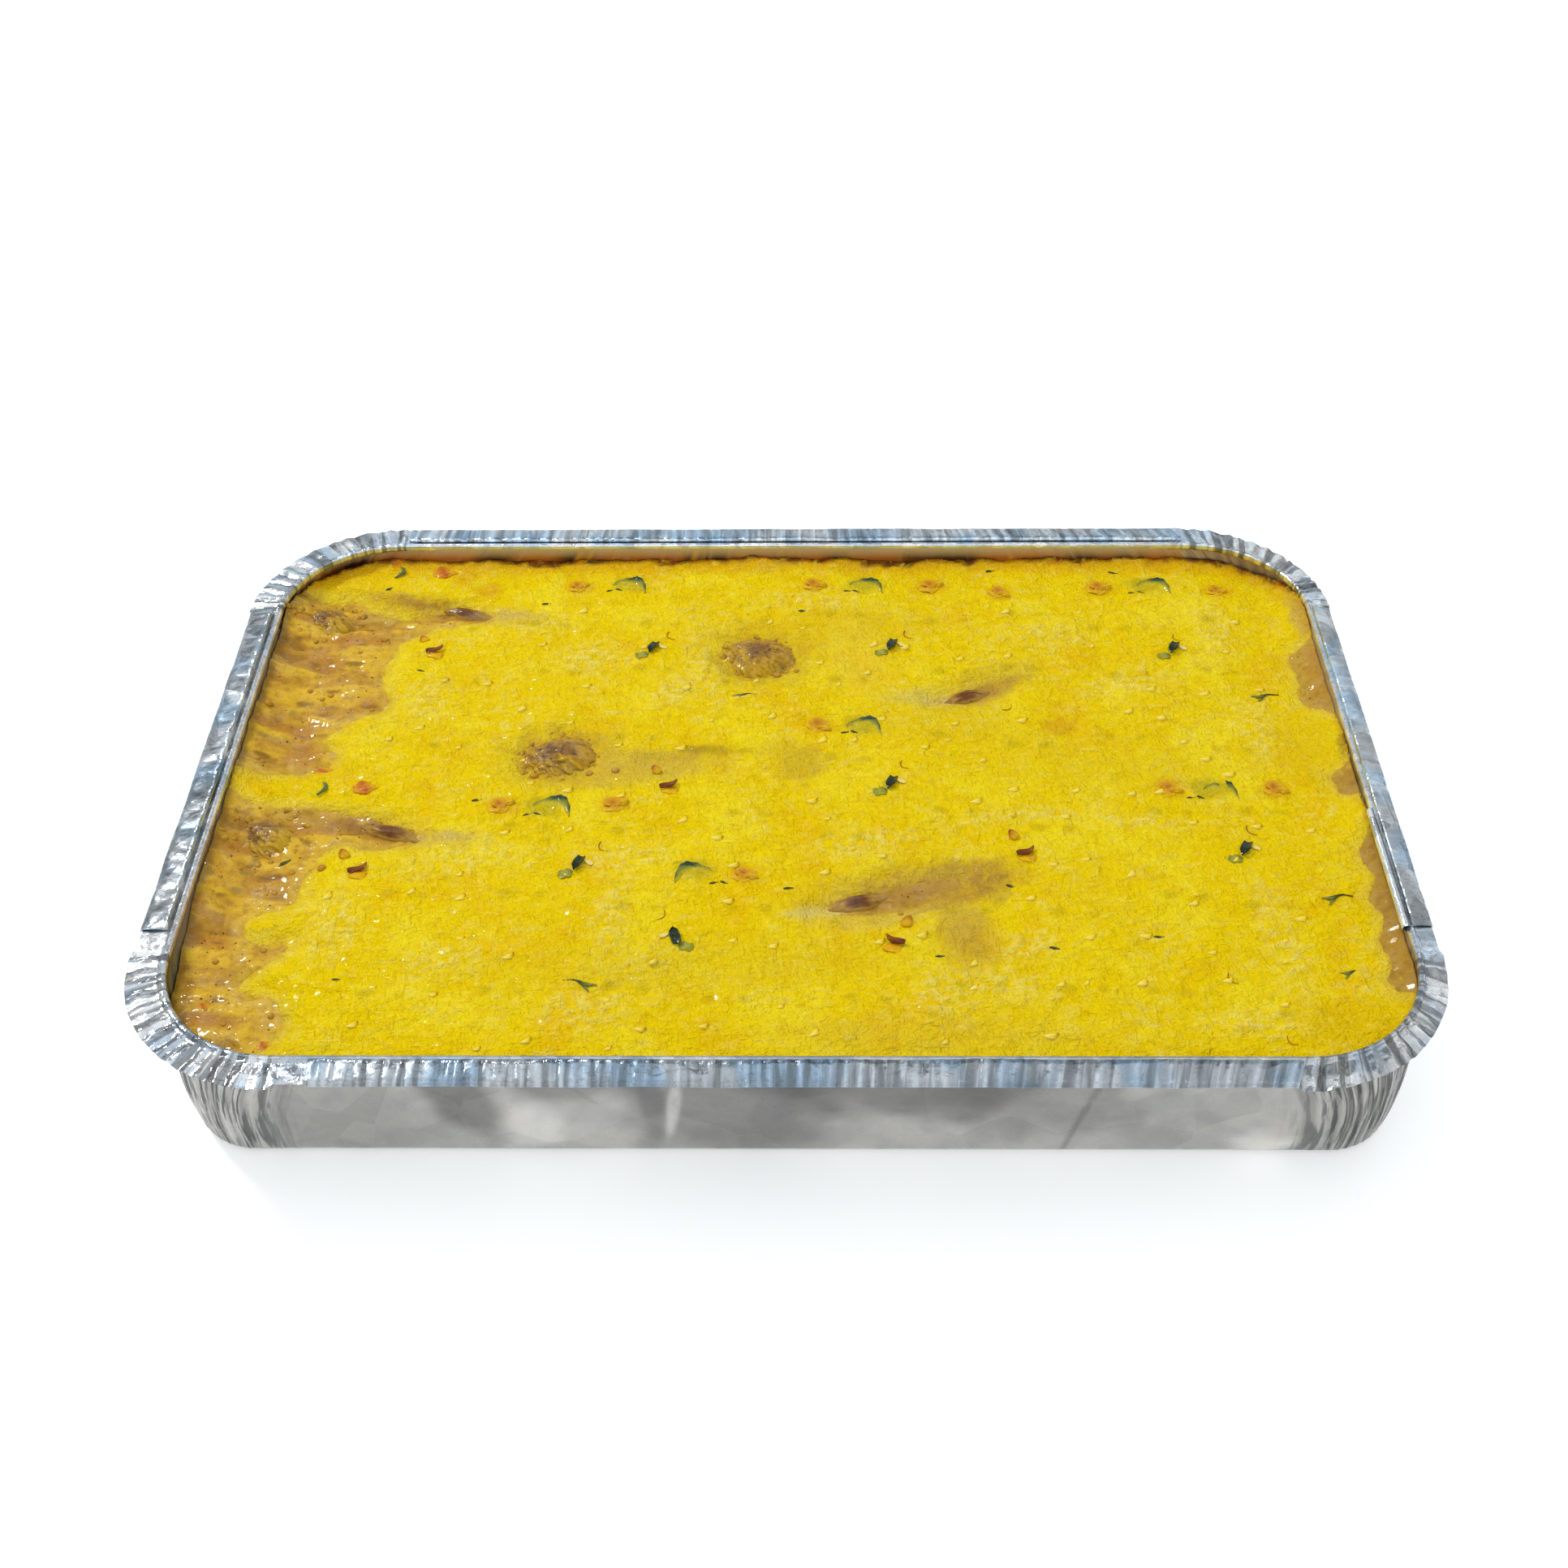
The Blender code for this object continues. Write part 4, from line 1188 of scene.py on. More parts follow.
TAN = srgb(198, 158, 46)
GREASY = srgb(205, 174, 44)
OLIVE = srgb(196, 168, 8)
LEAFY = srgb(170, 158, 34)
AMBER = srgb(214, 150, 14)
CREAM = srgb(242, 220, 104)

# Pale flaky seams in the mash: place, half sizes in millimetres and turn in degrees
SEAMS = (
    (-23, 47, 4, 15, 10), (-31, 38, 8, 5, 30), (-43, -50, 4, 15, -8), (-35, -66, 11, 5, 20),
    (-47, -81, 9, 6, 0), (-41, -30, 9, 4, 12), (52, -72, 11, 5, -14), (38, -76, 6, 9, 20),
    (60, -60, 9, 4, 20), (122, -60, 4, 15, 6), (112, -84, 11, 4, 0), (62, -14, 18, 2.4, 4),
    (91, -16, 14, 2.2, -6), (124, 66, 5, 12, 10), (96, 40, 12, 5, 14), (-76, 68, 12, 5, -10),
    (-84, -30, 11, 5, 10), (8, 78, 14, 4, 0), (-58, 52, 8, 6, 20), (76, 62, 10, 5, 0),
    (130, 20, 6, 12, 0), (-100, 34, 6, 9, 0), (-112, -52, 6, 9, 10), (20, -24, 14, 4, 8),
    (-82, -64, 10, 5, 0),
)

# Centres, in millimetres, of the orange toasted spots
ORANGE_SPOTS = (
    (-63, 86), (8, 86), (93, 84), (43, 86), (63, 82), (128, 83), (9, 22), (-75, -10), (-10, -36), (102, -4),
    (130, -4), (-45, -10),
)
class FoodRelief:
    """Heights and colours of the mash and of the filling that shows in its gaps."""

    def __init__(self, plan: TrayPlan) -> None:
        """Set the levels and smooth the gaps' outlines.

        Args:
            plan: the tray that holds the food.
        """
        self.plan = plan
        self.sauce_level = 36.6 * MM
        self.mash_level = 38.4 * MM
        self.wall_level = 38.5 * MM
        self.climb_reach = 15 * MM
        self.climb_height = 4.5 * MM
        self.broad, self.fine, self.edge = Noise(3), Noise(4), Noise(6)
        self.gaps = [self._rounded(np.array(corners) * MM) for corners in GAPS.values()]
        self.smears = self._smears()
        self.seams = [Stain(*place, CREAM, 0.9, 0.7) for place in SEAMS]
        self.stains = self._stains()

    @staticmethod
    def _rounded(corners: Array) -> Array:
        """A closed smooth curve through corners."""
        before, after, beyond = (np.roll(corners, shift, axis=0) for shift in (1, -1, -2))
        curve = []
        for t in (0.0, 0.25, 0.5, 0.75):
            curve.append(0.5 * (
                2 * corners + (after - before) * t
                + (2 * before - 5 * corners + 4 * after - beyond) * t**2
                + (3 * corners - before - 3 * after + beyond) * t**3
            ))
        return np.stack(curve, axis=1).reshape(-1, 2)

    def gap_distance(self, x: Array, y: Array) -> Array:
        """Distance from each point to the nearest gap, negative inside one."""
        nearest = np.full(len(x), 1.0)
        for outline in self.gaps:
            inside = np.zeros(len(x), dtype=bool)
            distance = np.full(len(x), 1.0)
            for start, end in zip(outline, np.roll(outline, -1, axis=0)):
                run = end - start
                along = ((x - start[0]) * run[0] + (y - start[1]) * run[1]) / (run @ run)
                along = np.clip(along, 0, 1)
                off_x, off_y = x - start[0] - along * run[0], y - start[1] - along * run[1]
                distance = np.minimum(distance, np.hypot(off_x, off_y))
                if start[1] != end[1]:
                    crosses = (start[1] > y) != (end[1] > y)
                    inside ^= crosses & (x < run[0] * (y - start[1]) / run[1] + start[0])
            nearest = np.minimum(nearest, np.where(inside, -distance, distance))
        scallops = self.edge(x, y, 7 * MM) * 1.6 * MM + self.edge(x, y, 2.6 * MM) * 0.9 * MM
        return nearest + scallops

    def _seam_share(self, x: Array, y: Array) -> Array:
        """How strongly the pale flaky seams show at each point."""
        across, back = x / MM, y / MM
        warp = 0.7 * self.edge(across, back, 4.0) + 0.3 * self.edge(across, back, 1.5)
        share = np.zeros(len(across))
        for seam in self.seams:
            share = np.maximum(share, seam.cover(across, back, warp))
        flaky = self.fine(across, back, 2.7, 1.6) + 0.5 * self.edge(across, back, 1.1)
        return share * smooth(-0.12, 0.22, flaky)

    def climb(self, x: Array, y: Array) -> Array:
        """How far the food has crept up the walls at the two ends of the tray."""
        wall = self.plan.half_x + self.plan.right_shift * (x > 0)
        share = np.clip(1 - (wall - np.abs(x)) / self.climb_reach, 0.0, 1.0)
        left = np.clip((y + 72 * MM) / (24 * MM), 0.0, 1.0)
        crust = (1.6 + 1.6 * self.edge(x, y, 7 * MM)) * MM
        behind = crust * np.clip(1 - (self.plan.half_y - y) / (8 * MM), 0.0, 1.0) ** 2
        return self.climb_height * share**2 * np.where(x < 0, left, 1.0) + behind * (1 - share)

    def sauce(self, x: Array, y: Array) -> Array:
        """Height of the filling where it shows: ridges that run across the tray, with hollows."""
        calm = 0.35 + 0.65 * (x < 0)
        relief = self.broad(x, y, 26 * MM, 7.5 * MM) * 1.5 + self.broad(x, y, 13 * MM, 5 * MM) * 0.9
        relief += self.fine(x, y, 5 * MM, 2.8 * MM) * 0.7 + self.fine(x, y, 1.8 * MM) * 0.28
        return self.sauce_level + relief * calm * MM + 1.2 * self.climb(x, y)

    def mash(self, x: Array, y: Array, gap: Array) -> Array:
        """Height of the mash, which thins out to the filling's level at each gap."""
        relief = self.broad(x, y, 34 * MM) * 1.1 + self.broad(x, y, 11 * MM) * 0.75
        relief += self.fine(x, y, 5.5 * MM, 3.8 * MM) * 0.5 + self.fine(x, y, 2.4 * MM, 1.9 * MM) * 0.32
        seam = self.broad(x + self.fine(x, y, 9 * MM) * 5 * MM, y, 21 * MM)
        flaky = smooth(-0.1, 0.3, self.fine(x, y, 2.9 * MM, 1.7 * MM))
        relief += 0.30 * np.exp(-((seam / 0.09) ** 2)) * flaky + 0.7 * self._seam_share(x, y)
        body = np.minimum(self.mash_level + relief * MM, 39.8 * MM) + self.climb(x, y)
        for centre_x, centre_y, wide, deep in BASINS:
            reach = np.hypot((x / MM - centre_x) / wide, (y / MM - centre_y) / deep)
            body = body - (1.4 * MM + 0.4 * (body - self.mash_level)) * (1 - smooth(0.72, 1.3, reach))
        edge = self.sauce(x, y)
        rise = smooth(-0.5 * MM, 7.0 * MM, gap)
        lip = 0.12 * MM * smooth(0, 0.8 * MM, gap)
        return np.where(gap > 0, edge + (body - edge) * rise + lip, edge + 0.6 * gap)

    def top(self, x: Array, y: Array) -> Array:
        """Height of whatever lies on top at each point."""
        x, y = np.asarray(x, float), np.asarray(y, float)
        gap = self.gap_distance(x, y)
        return np.maximum(self.sauce(x, y), self.mash(x, y, gap))

    @staticmethod
    def _smears() -> list[Stain]:
        """Brown streaks that run out from the wet strips, on mash and filling alike."""
        brown, lilac, pale = srgb(146, 98, 34), srgb(178, 136, 54), srgb(208, 178, 92)
        rows = (
            (-109, 77.5, 17, 3.0, -14, lilac, 0.9, 0.8), (-99, 75.5, 10, 2.6, -16, brown, 0.9, 0.7),
            (-84, 72, 9, 1.8, -8, pale, 0.8), (-119, -14.5, 16, 3.0, -12, lilac, 0.9, 0.8),
            (-108, -17, 10, 2.6, -14, brown, 0.9, 0.7), (-92, -21, 10, 1.8, -6, pale, 0.8),
            (57, 39, 8, 2.8, 26, lilac, 0.9, 0.8), (45, 34.5, 7, 1.8, 8, srgb(212, 188, 96), 0.9),
            (27, -42, 12, 3.2, 10, brown, 0.8, 0.9), (39, -39, 15, 5.0, 12, lilac, 0.85, 0.9),
            (10, -47, 8, 1.8, 14, srgb(220, 198, 104), 0.8),
        )
        return [Stain(*row) for row in rows]

    def _stains(self) -> list[Stain]:
        """Every patch that the mash carries: halos round the meat, smears, olive and orange spots."""
        rows = (
            (-8, 53, 15, 12.5, -10, GREASY, 0.85), (-62, 10, 15, 12, 12, GREASY, 0.85),
            (-8, 53, 11.5, 9.6, -10, TAN, 0.7, 0.3), (-62, 10, 11.5, 9.4, 12, TAN, 0.7, 0.3),
            (-44, 8, 18, 4.2, 4, srgb(212, 180, 62), 0.7), (-38, 4, 20, 5.5, 12, srgb(206, 172, 60), 0.7),
            (-28, 11, 16, 2.6, 4, srgb(196, 162, 44), 0.5), (-22, 12.5, 9, 1.4, -4, srgb(160, 128, 30), 0.6),
            (4, 6, 6, 8, -24, srgb(208, 174, 40), 0.8, 0.35), (-2, 12, 6, 4, 20, srgb(214, 180, 34), 0.6),
            (46, -37, 9, 6, 12, TAN, 0.95), (40, -43, 14, 5, 8, TAN, 0.8),
            (30, -41, 22, 8, 12, TAN, 0.8, 0.8), (24, -49, 12, 4, 10, srgb(214, 184, 92), 0.6, 0.8),
            (45, -58, 6.5, 8.5, 8, srgb(196, 154, 50), 0.9, 0.7), (44, -50, 6, 6, 0, srgb(206, 172, 60), 0.7),
            (19, -44, 13, 5, 16, GREASY, 0.7), (51, 36, 13, 5, 18, GREASY, 0.8),
            (38, 34.5, 9, 3.5, 8, srgb(216, 194, 84), 0.8), (61, 44, 11, 4.5, 16, srgb(208, 176, 46), 0.6),
            (-84, 71, 14, 4, -8, srgb(220, 190, 66), 0.8), (-90, -22, 12, 3.6, -4, srgb(220, 190, 66), 0.8),
            (12, 66, 30, 8, 4, srgb(222, 184, 20), 0.5), (48, 22, 30, 9, -5, srgb(226, 192, 10), 0.4),
            (-20, -66, 60, 8, 2, srgb(224, 194, 24), 0.4), (30, -88, 34, 6, 0, srgb(222, 188, 40), 0.5),
            (20, 52, 9, 15, 10, srgb(232, 206, 60), 0.4), (84, 6, 34, 12, -6, srgb(228, 198, 20), 0.35),
            (-136, 4, 20, 6, 0, srgb(222, 186, 14), 0.5), (-133, 90, 16, 7, 8, srgb(228, 186, 8), 0.6),
            (141, 12, 8, 14, 0, srgb(226, 190, 12), 0.7), (136, -86, 16, 8, -18, srgb(222, 180, 4), 0.5),
            (152, -14, 1.6, 7, 0, srgb(130, 88, 30), 0.9, 0.4),
            (151, 10, 2.4, 5, 0, srgb(104, 96, 48), 0.8, 0.4),
            (150, 64, 3, 12, 8, srgb(190, 150, 84), 0.7, 0.5),
        )
        stains = [Stain(*row) for row in rows] + self.smears
        leaves = ((-48, 86), (23, 86), (107, 85), (21, 22), (-64, -11), (112, -4), (-23, -35))
        stains += [Stain(x, y + 0.5, 5.2, 3.8, -15, LEAFY, 0.62, 0.4) for x, y in leaves]
        spots = (*ORANGE_SPOTS, (75, 22), (-90, 84), (-98, 90))
        stains += [Stain(x, y, 4.2, 3.4, 0, AMBER, 0.55, 0.6) for x, y in spots]
        rng = np.random.default_rng(17)
        for x in range(-96, 140, 27):
            for y in (70, 45, 14, -16, -47, -76):
                across, back = rng.uniform(-5, 5, 2)
                pale = Stain(x + across, y + back, 1.9, 1.5, rng.uniform(-40, 40), OLIVE, 0.6, 0.5)
                stains += [pale, Stain(x + across + 8.5, y + back - 0.5, 1.6, 1.3, 0, OLIVE, 0.5, 0.5)]
        return stains

    def mash_colours(self, x: Array, y: Array, gap: Array) -> Array:
        """Linear colour of the mash at each point, and how strongly cream flecks show there.

        Args:
            x: places across, in metres.
            y: places back, in metres.
            gap: distance to the nearest gap.

        Returns:
            Rows of red, green, blue and fleck strength.
        """
        across, back = x / MM, y / MM
        cloud = self.broad(across, back, 19.0) + 0.5 * self.fine(across, back, 6.0)
        seam = self.broad(x + self.fine(x, y, 9 * MM) * 5 * MM, y, 21 * MM)
        patchy = smooth(-0.2, 0.3, self.fine(across, back, 14.0))
        flaky = smooth(-0.05, 0.35, self.fine(across, back, 2.9, 1.7)) * patchy
        swirl = self.fine(across + 6 * self.edge(across, back, 12.0), back, 4.2, 2.0)
        colours = layered(
            srgb(236, 203, 0),
            (srgb(241, 214, 24), smooth(0.0, 0.5, cloud)),
            (srgb(235, 192, 0), smooth(0.1, 0.6, -cloud)),
            (srgb(236, 214, 92), 0.7 * flaky * np.exp(-((seam / 0.13) ** 2))),
            (srgb(236, 212, 76), 0.5 * smooth(0.2, 0.5, swirl)),
            (CREAM, 0.8 * self._seam_share(x, y)),
        )
        warp = 0.45 * self.edge(across, back, 4.5) + 0.3 * self.edge(across, back, 1.8)
        flecks = 0.8 + 0.6 * self.broad(across, back, 13.0)
        for stain in self.stains:
            cover = stain.cover(across, back, warp)
            colours = layered(colours, (stain.colour, cover))
            flecks = flecks * (1 - 0.5 * cover)
        wall = self.plan.inside(x, y, self.wall_level) / MM
        behind = smooth(70, 86, back)
        wave = 3.4 * self.edge(across, back, 11.0) + 2.4 * self.edge(across, back, 3.6)
        rust = layered(srgb(112, 62, 26), (srgb(190, 96, 20), smooth(0.0, 0.4, self.fine(across, back, 5.0))))
        ragged = gap / MM + 1.8 * self.fine(across, back, 3.4)
        colours = layered(
            colours,
            (srgb(216, 156, 22), 0.8 * behind * (1 - smooth(0.5, 9.0, wall + 4 * warp))),
            (rust, behind * (1 - smooth(0.2, 2.2, wall + wave))),
            (srgb(196, 142, 26), 0.6 * (1 - smooth(0.2, 2.2, wall + 1.6 * warp)) * (1 - behind)),
            (srgb(226, 196, 60), 0.7 * (1 - smooth(0.6, 4.5, ragged))),
            (srgb(204, 162, 52), 0.9 * (1 - smooth(-0.8, 1.2, ragged))),
        )
        for stain in self.smears:
            colours = layered(colours, (stain.colour, 0.8 * stain.cover(across, back, warp) * (across > -20)))
        return np.hstack([colours, np.clip(flecks, 0.0, 1.0)[:, None]])

    def sauce_colours(self, x: Array, y: Array) -> Array:
        """Linear colour of the filling at each point: tan, with golden ridges and brown hollows."""
        across, back = x / MM, y / MM
        left = (across < 20).astype(float)
        level = (self.sauce(x, y) - 1.2 * self.climb(x, y) - self.sauce_level) / MM
        golden = self.broad(across, back, 26.0, 7.0) + 0.4 * self.fine(across, back, 5.0, 2.4)
        gap = self.gap_distance(x, y) / MM + 2.0 * self.fine(across, back, 3.0)
        colours = layered(
            srgb(190, 142, 42),
            (srgb(216, 172, 42), left * smooth(-0.1, 0.5, level)),
            (srgb(150, 106, 26), 0.9 * left * smooth(0.1, 0.8, -level)),
            (srgb(216, 172, 32), 0.7 * left * smooth(0.10, 0.34, golden)),
            (srgb(182, 126, 42), 0.85 * left * smooth(0.1, 0.4, self.fine(across, back, 17.0, 8.0))),
            (srgb(112, 76, 22), 0.7 * left * smooth(0.3, 0.5, self.edge(across, back, 6.0, 2.6))),
            (srgb(132, 122, 62), 0.6 * left * smooth(0.40, 0.55, self.broad(across + 40, back, 5.0, 3.0))),
            (srgb(212, 174, 48), 0.6 * smooth(-5.0, -0.5, gap)),
            (srgb(150, 112, 40), (across > 100) * np.where(back > 0, 0.3, 0.55)),
        )
        warp = 0.4 * self.edge(across, back, 4.0)
        for stain in self.smears:
            colours = layered(colours, (stain.colour, stain.cover(across, back, warp)))
        wall = self.plan.inside(x, y, self.wall_level) / MM
        grime = (1 - smooth(0.3, 2.6, wall + 1.4 * self.edge(across, back, 3.0))) * (across < 0)
        return layered(colours, (srgb(122, 92, 26), 0.7 * grime))


@dataclass
class Food:
    """The mash and the filling, with their true surfaces."""

    relief: FoodRelief
    cell: float = 0.92 * MM
    sauce_cell: float = 2.6 * MM
    layer: float = 30 * MM
    sunk: float = 1.3 * MM

    def _sheet(self, name: str, cell: float) -> Piece:
        """A flat grid over the tray's mouth, cut to the wall's inner face."""
        plan = self.relief.plan
        half_x, half_y = plan.half_x + plan.right_shift, plan.half_y
        sheet = wrapped_grid(
            name, round(2 * half_x / cell), round(2 * half_y / cell),
            lambda u, v: np.stack([(2 * u - 1) * half_x, (2 * v - 1) * half_y, 0 * u], axis=1),
        )
        points = read_points(sheet)
        level = self.relief.mash_level
        self._delete(sheet, plan.inside(points[:, 0], points[:, 1], level) < -cell * 0.5)
        points = read_points(sheet)
        room = plan.inside(points[:, 0], points[:, 1], level)
        near = room < cell * 0.5
        points[near] = self._onto_wall(points[near], room[near], level)
        write_points(sheet, points)
        return sheet

    def _onto_wall(self, points: Array, room: Array, level: float) -> Array:
        """Points moved in plan towards the wall's inner face at a level, by their room."""
        plan = self.relief.plan
        step = 0.01 * MM
        x, y = points[:, 0], points[:, 1]
        here = plan.inside(x, y, level)
        slope_x = (plan.inside(x + step, y, level) - here) / step
        slope_y = (plan.inside(x, y + step, level) - here) / step
        moved = points.copy()
        moved[:, 0] -= slope_x * room
        moved[:, 1] -= slope_y * room
        return moved

    def _within(self, points: Array, least: float) -> Array:
        """Points pulled in from the wall's inner face at their own heights."""
        x, y, z = points.T
        short = self.relief.plan.inside(x, y, z) - least
        return self._onto_wall(points, np.minimum(short, 0.0), z)

    @staticmethod
    def _delete(obj: Piece, where: Array) -> None:
        """Delete the vertices where a mask is true."""
        with editing(obj, where):
            bpy.ops.mesh.delete(type="VERT")

    def _make_solid(self, obj: Piece, steps: Sequence[tuple[float, float]]) -> None:
        """Extrude the open edge down the tray's wall and close the underside.

        Args:
            obj: the open sheet.
            steps: heights going down, each with the room left to the wall there, in millimetres.
        """
        plan = self.relief.plan
        pick(obj)
        bpy.ops.object.mode_set(mode="EDIT")
        bpy.ops.mesh.select_mode(type="EDGE")
        bpy.ops.mesh.select_all(action="DESELECT")
        bpy.ops.mesh.select_non_manifold(
            extend=False, use_boundary=True, use_wire=False, use_multi_face=False,
        )
        for height, room in steps:
            bpy.ops.mesh.extrude_edges_move()
            bpy.ops.object.mode_set(mode="OBJECT")
            chosen = np.empty(len(obj.data.vertices), dtype=bool)
            obj.data.vertices.foreach_get("select", chosen)
            points = read_points(obj)
            edge = points[chosen]
            edge[:, 2] = np.minimum(edge[:, 2] - 0.1 * MM, height * MM)
            short = plan.inside(edge[:, 0], edge[:, 1], height * MM) - room * MM
            moved = self._onto_wall(edge, np.minimum(short, 0.0), height * MM)
            points[chosen] = moved
            write_points(obj, points)
            bpy.ops.object.mode_set(mode="EDIT")
        bpy.ops.mesh.edge_face_add()
        bpy.ops.object.mode_set(mode="OBJECT")

    def mash(self) -> Piece:
        """The golden mash as one solid layer with its gaps cut out."""
        obj = self._sheet("golden_mash", self.cell)
        points = read_points(obj)
        self._delete(obj, self.relief.gap_distance(points[:, 0], points[:, 1]) < -self.sunk)
        points = read_points(obj)
        x, y = points[:, 0], points[:, 1]
        points[:, 2] = self.relief.mash(x, y, self.relief.gap_distance(x, y))
        write_points(obj, self._within(points, 0.04 * MM))
        self._make_solid(obj, ((36.0, 0.3), (34.0, 1.0), (30.3, 1.6)))
        x, y, _ = read_points(obj).T
        paint(obj, self.relief.mash_colours(x, y, self.relief.gap_distance(x, y)))
        close_up(obj)
        shade(obj)
        return obj

    def filling(self) -> Piece:
        """The creamy filling: plain under the mash, finely shaped where it shows."""
        obj = self._sheet("creamy_filling_surface", self.sauce_cell)
        points = read_points(obj)
        shown = self.relief.gap_distance(points[:, 0], points[:, 1]) < 1.5 * MM
        with editing(obj, shown):
            bpy.ops.mesh.select_more()
            bpy.ops.mesh.select_mode(type="FACE")
            bpy.ops.mesh.subdivide(number_cuts=4)
        points = read_points(obj)
        x, y = points[:, 0], points[:, 1]
        sunk = smooth(1.0 * MM, 4.0 * MM, self.relief.gap_distance(x, y))
        points[:, 2] = self.relief.sauce(x, y) * (1 - sunk) + self.layer * sunk
        write_points(obj, self._within(points, 0.2 * MM))
        self._make_solid(obj, ((34.5, 0.5), (31.0, 1.2), (26.0, 1.6), (5.0, 1.6), (0.9, 5.0)))
        x, y, _ = read_points(obj).T
        paint(obj, self.relief.sauce_colours(x, y))
        close_up(obj)
        shade(obj)
        return obj

    def build(self, effects: Effects) -> None:
        """Make and dress the mash and the filling."""
        sauce = MoistFinish(
            "creamy_sauce_surface", srgb(140, 94, 22), srgb(226, 184, 66), 380.0, 0.7 * MM,
            dark_share=0.45, roughness=0.32, coat=0.8,
        ).build(effects)
        set_out(self.mash(), MashFinish().build(effects), ["potato_topping"])
        set_out(self.filling(), sauce, ["creamy_filling"])


@dataclass(frozen=True)
class Lump:
    """A lump or strip of meat: centre, half sizes and turn, in millimetres and degrees."""

    node: str
    x: float
    y: float
    z: float
    wide: float
    deep: float
    tall: float
    turn: float

    def local(self, directions: Array) -> Array:
        """Directions from the centre as points on the plain rounded form, in metres."""
        turn = math.radians(self.turn)
        x, y, z = directions[:, 0] * self.wide, directions[:, 1] * self.deep, directions[:, 2] * self.tall
        return np.stack([
            self.x + x * math.cos(turn) - y * math.sin(turn),
            self.y + x * math.sin(turn) + y * math.cos(turn),
            self.z + z,
        ], axis=1) * MM


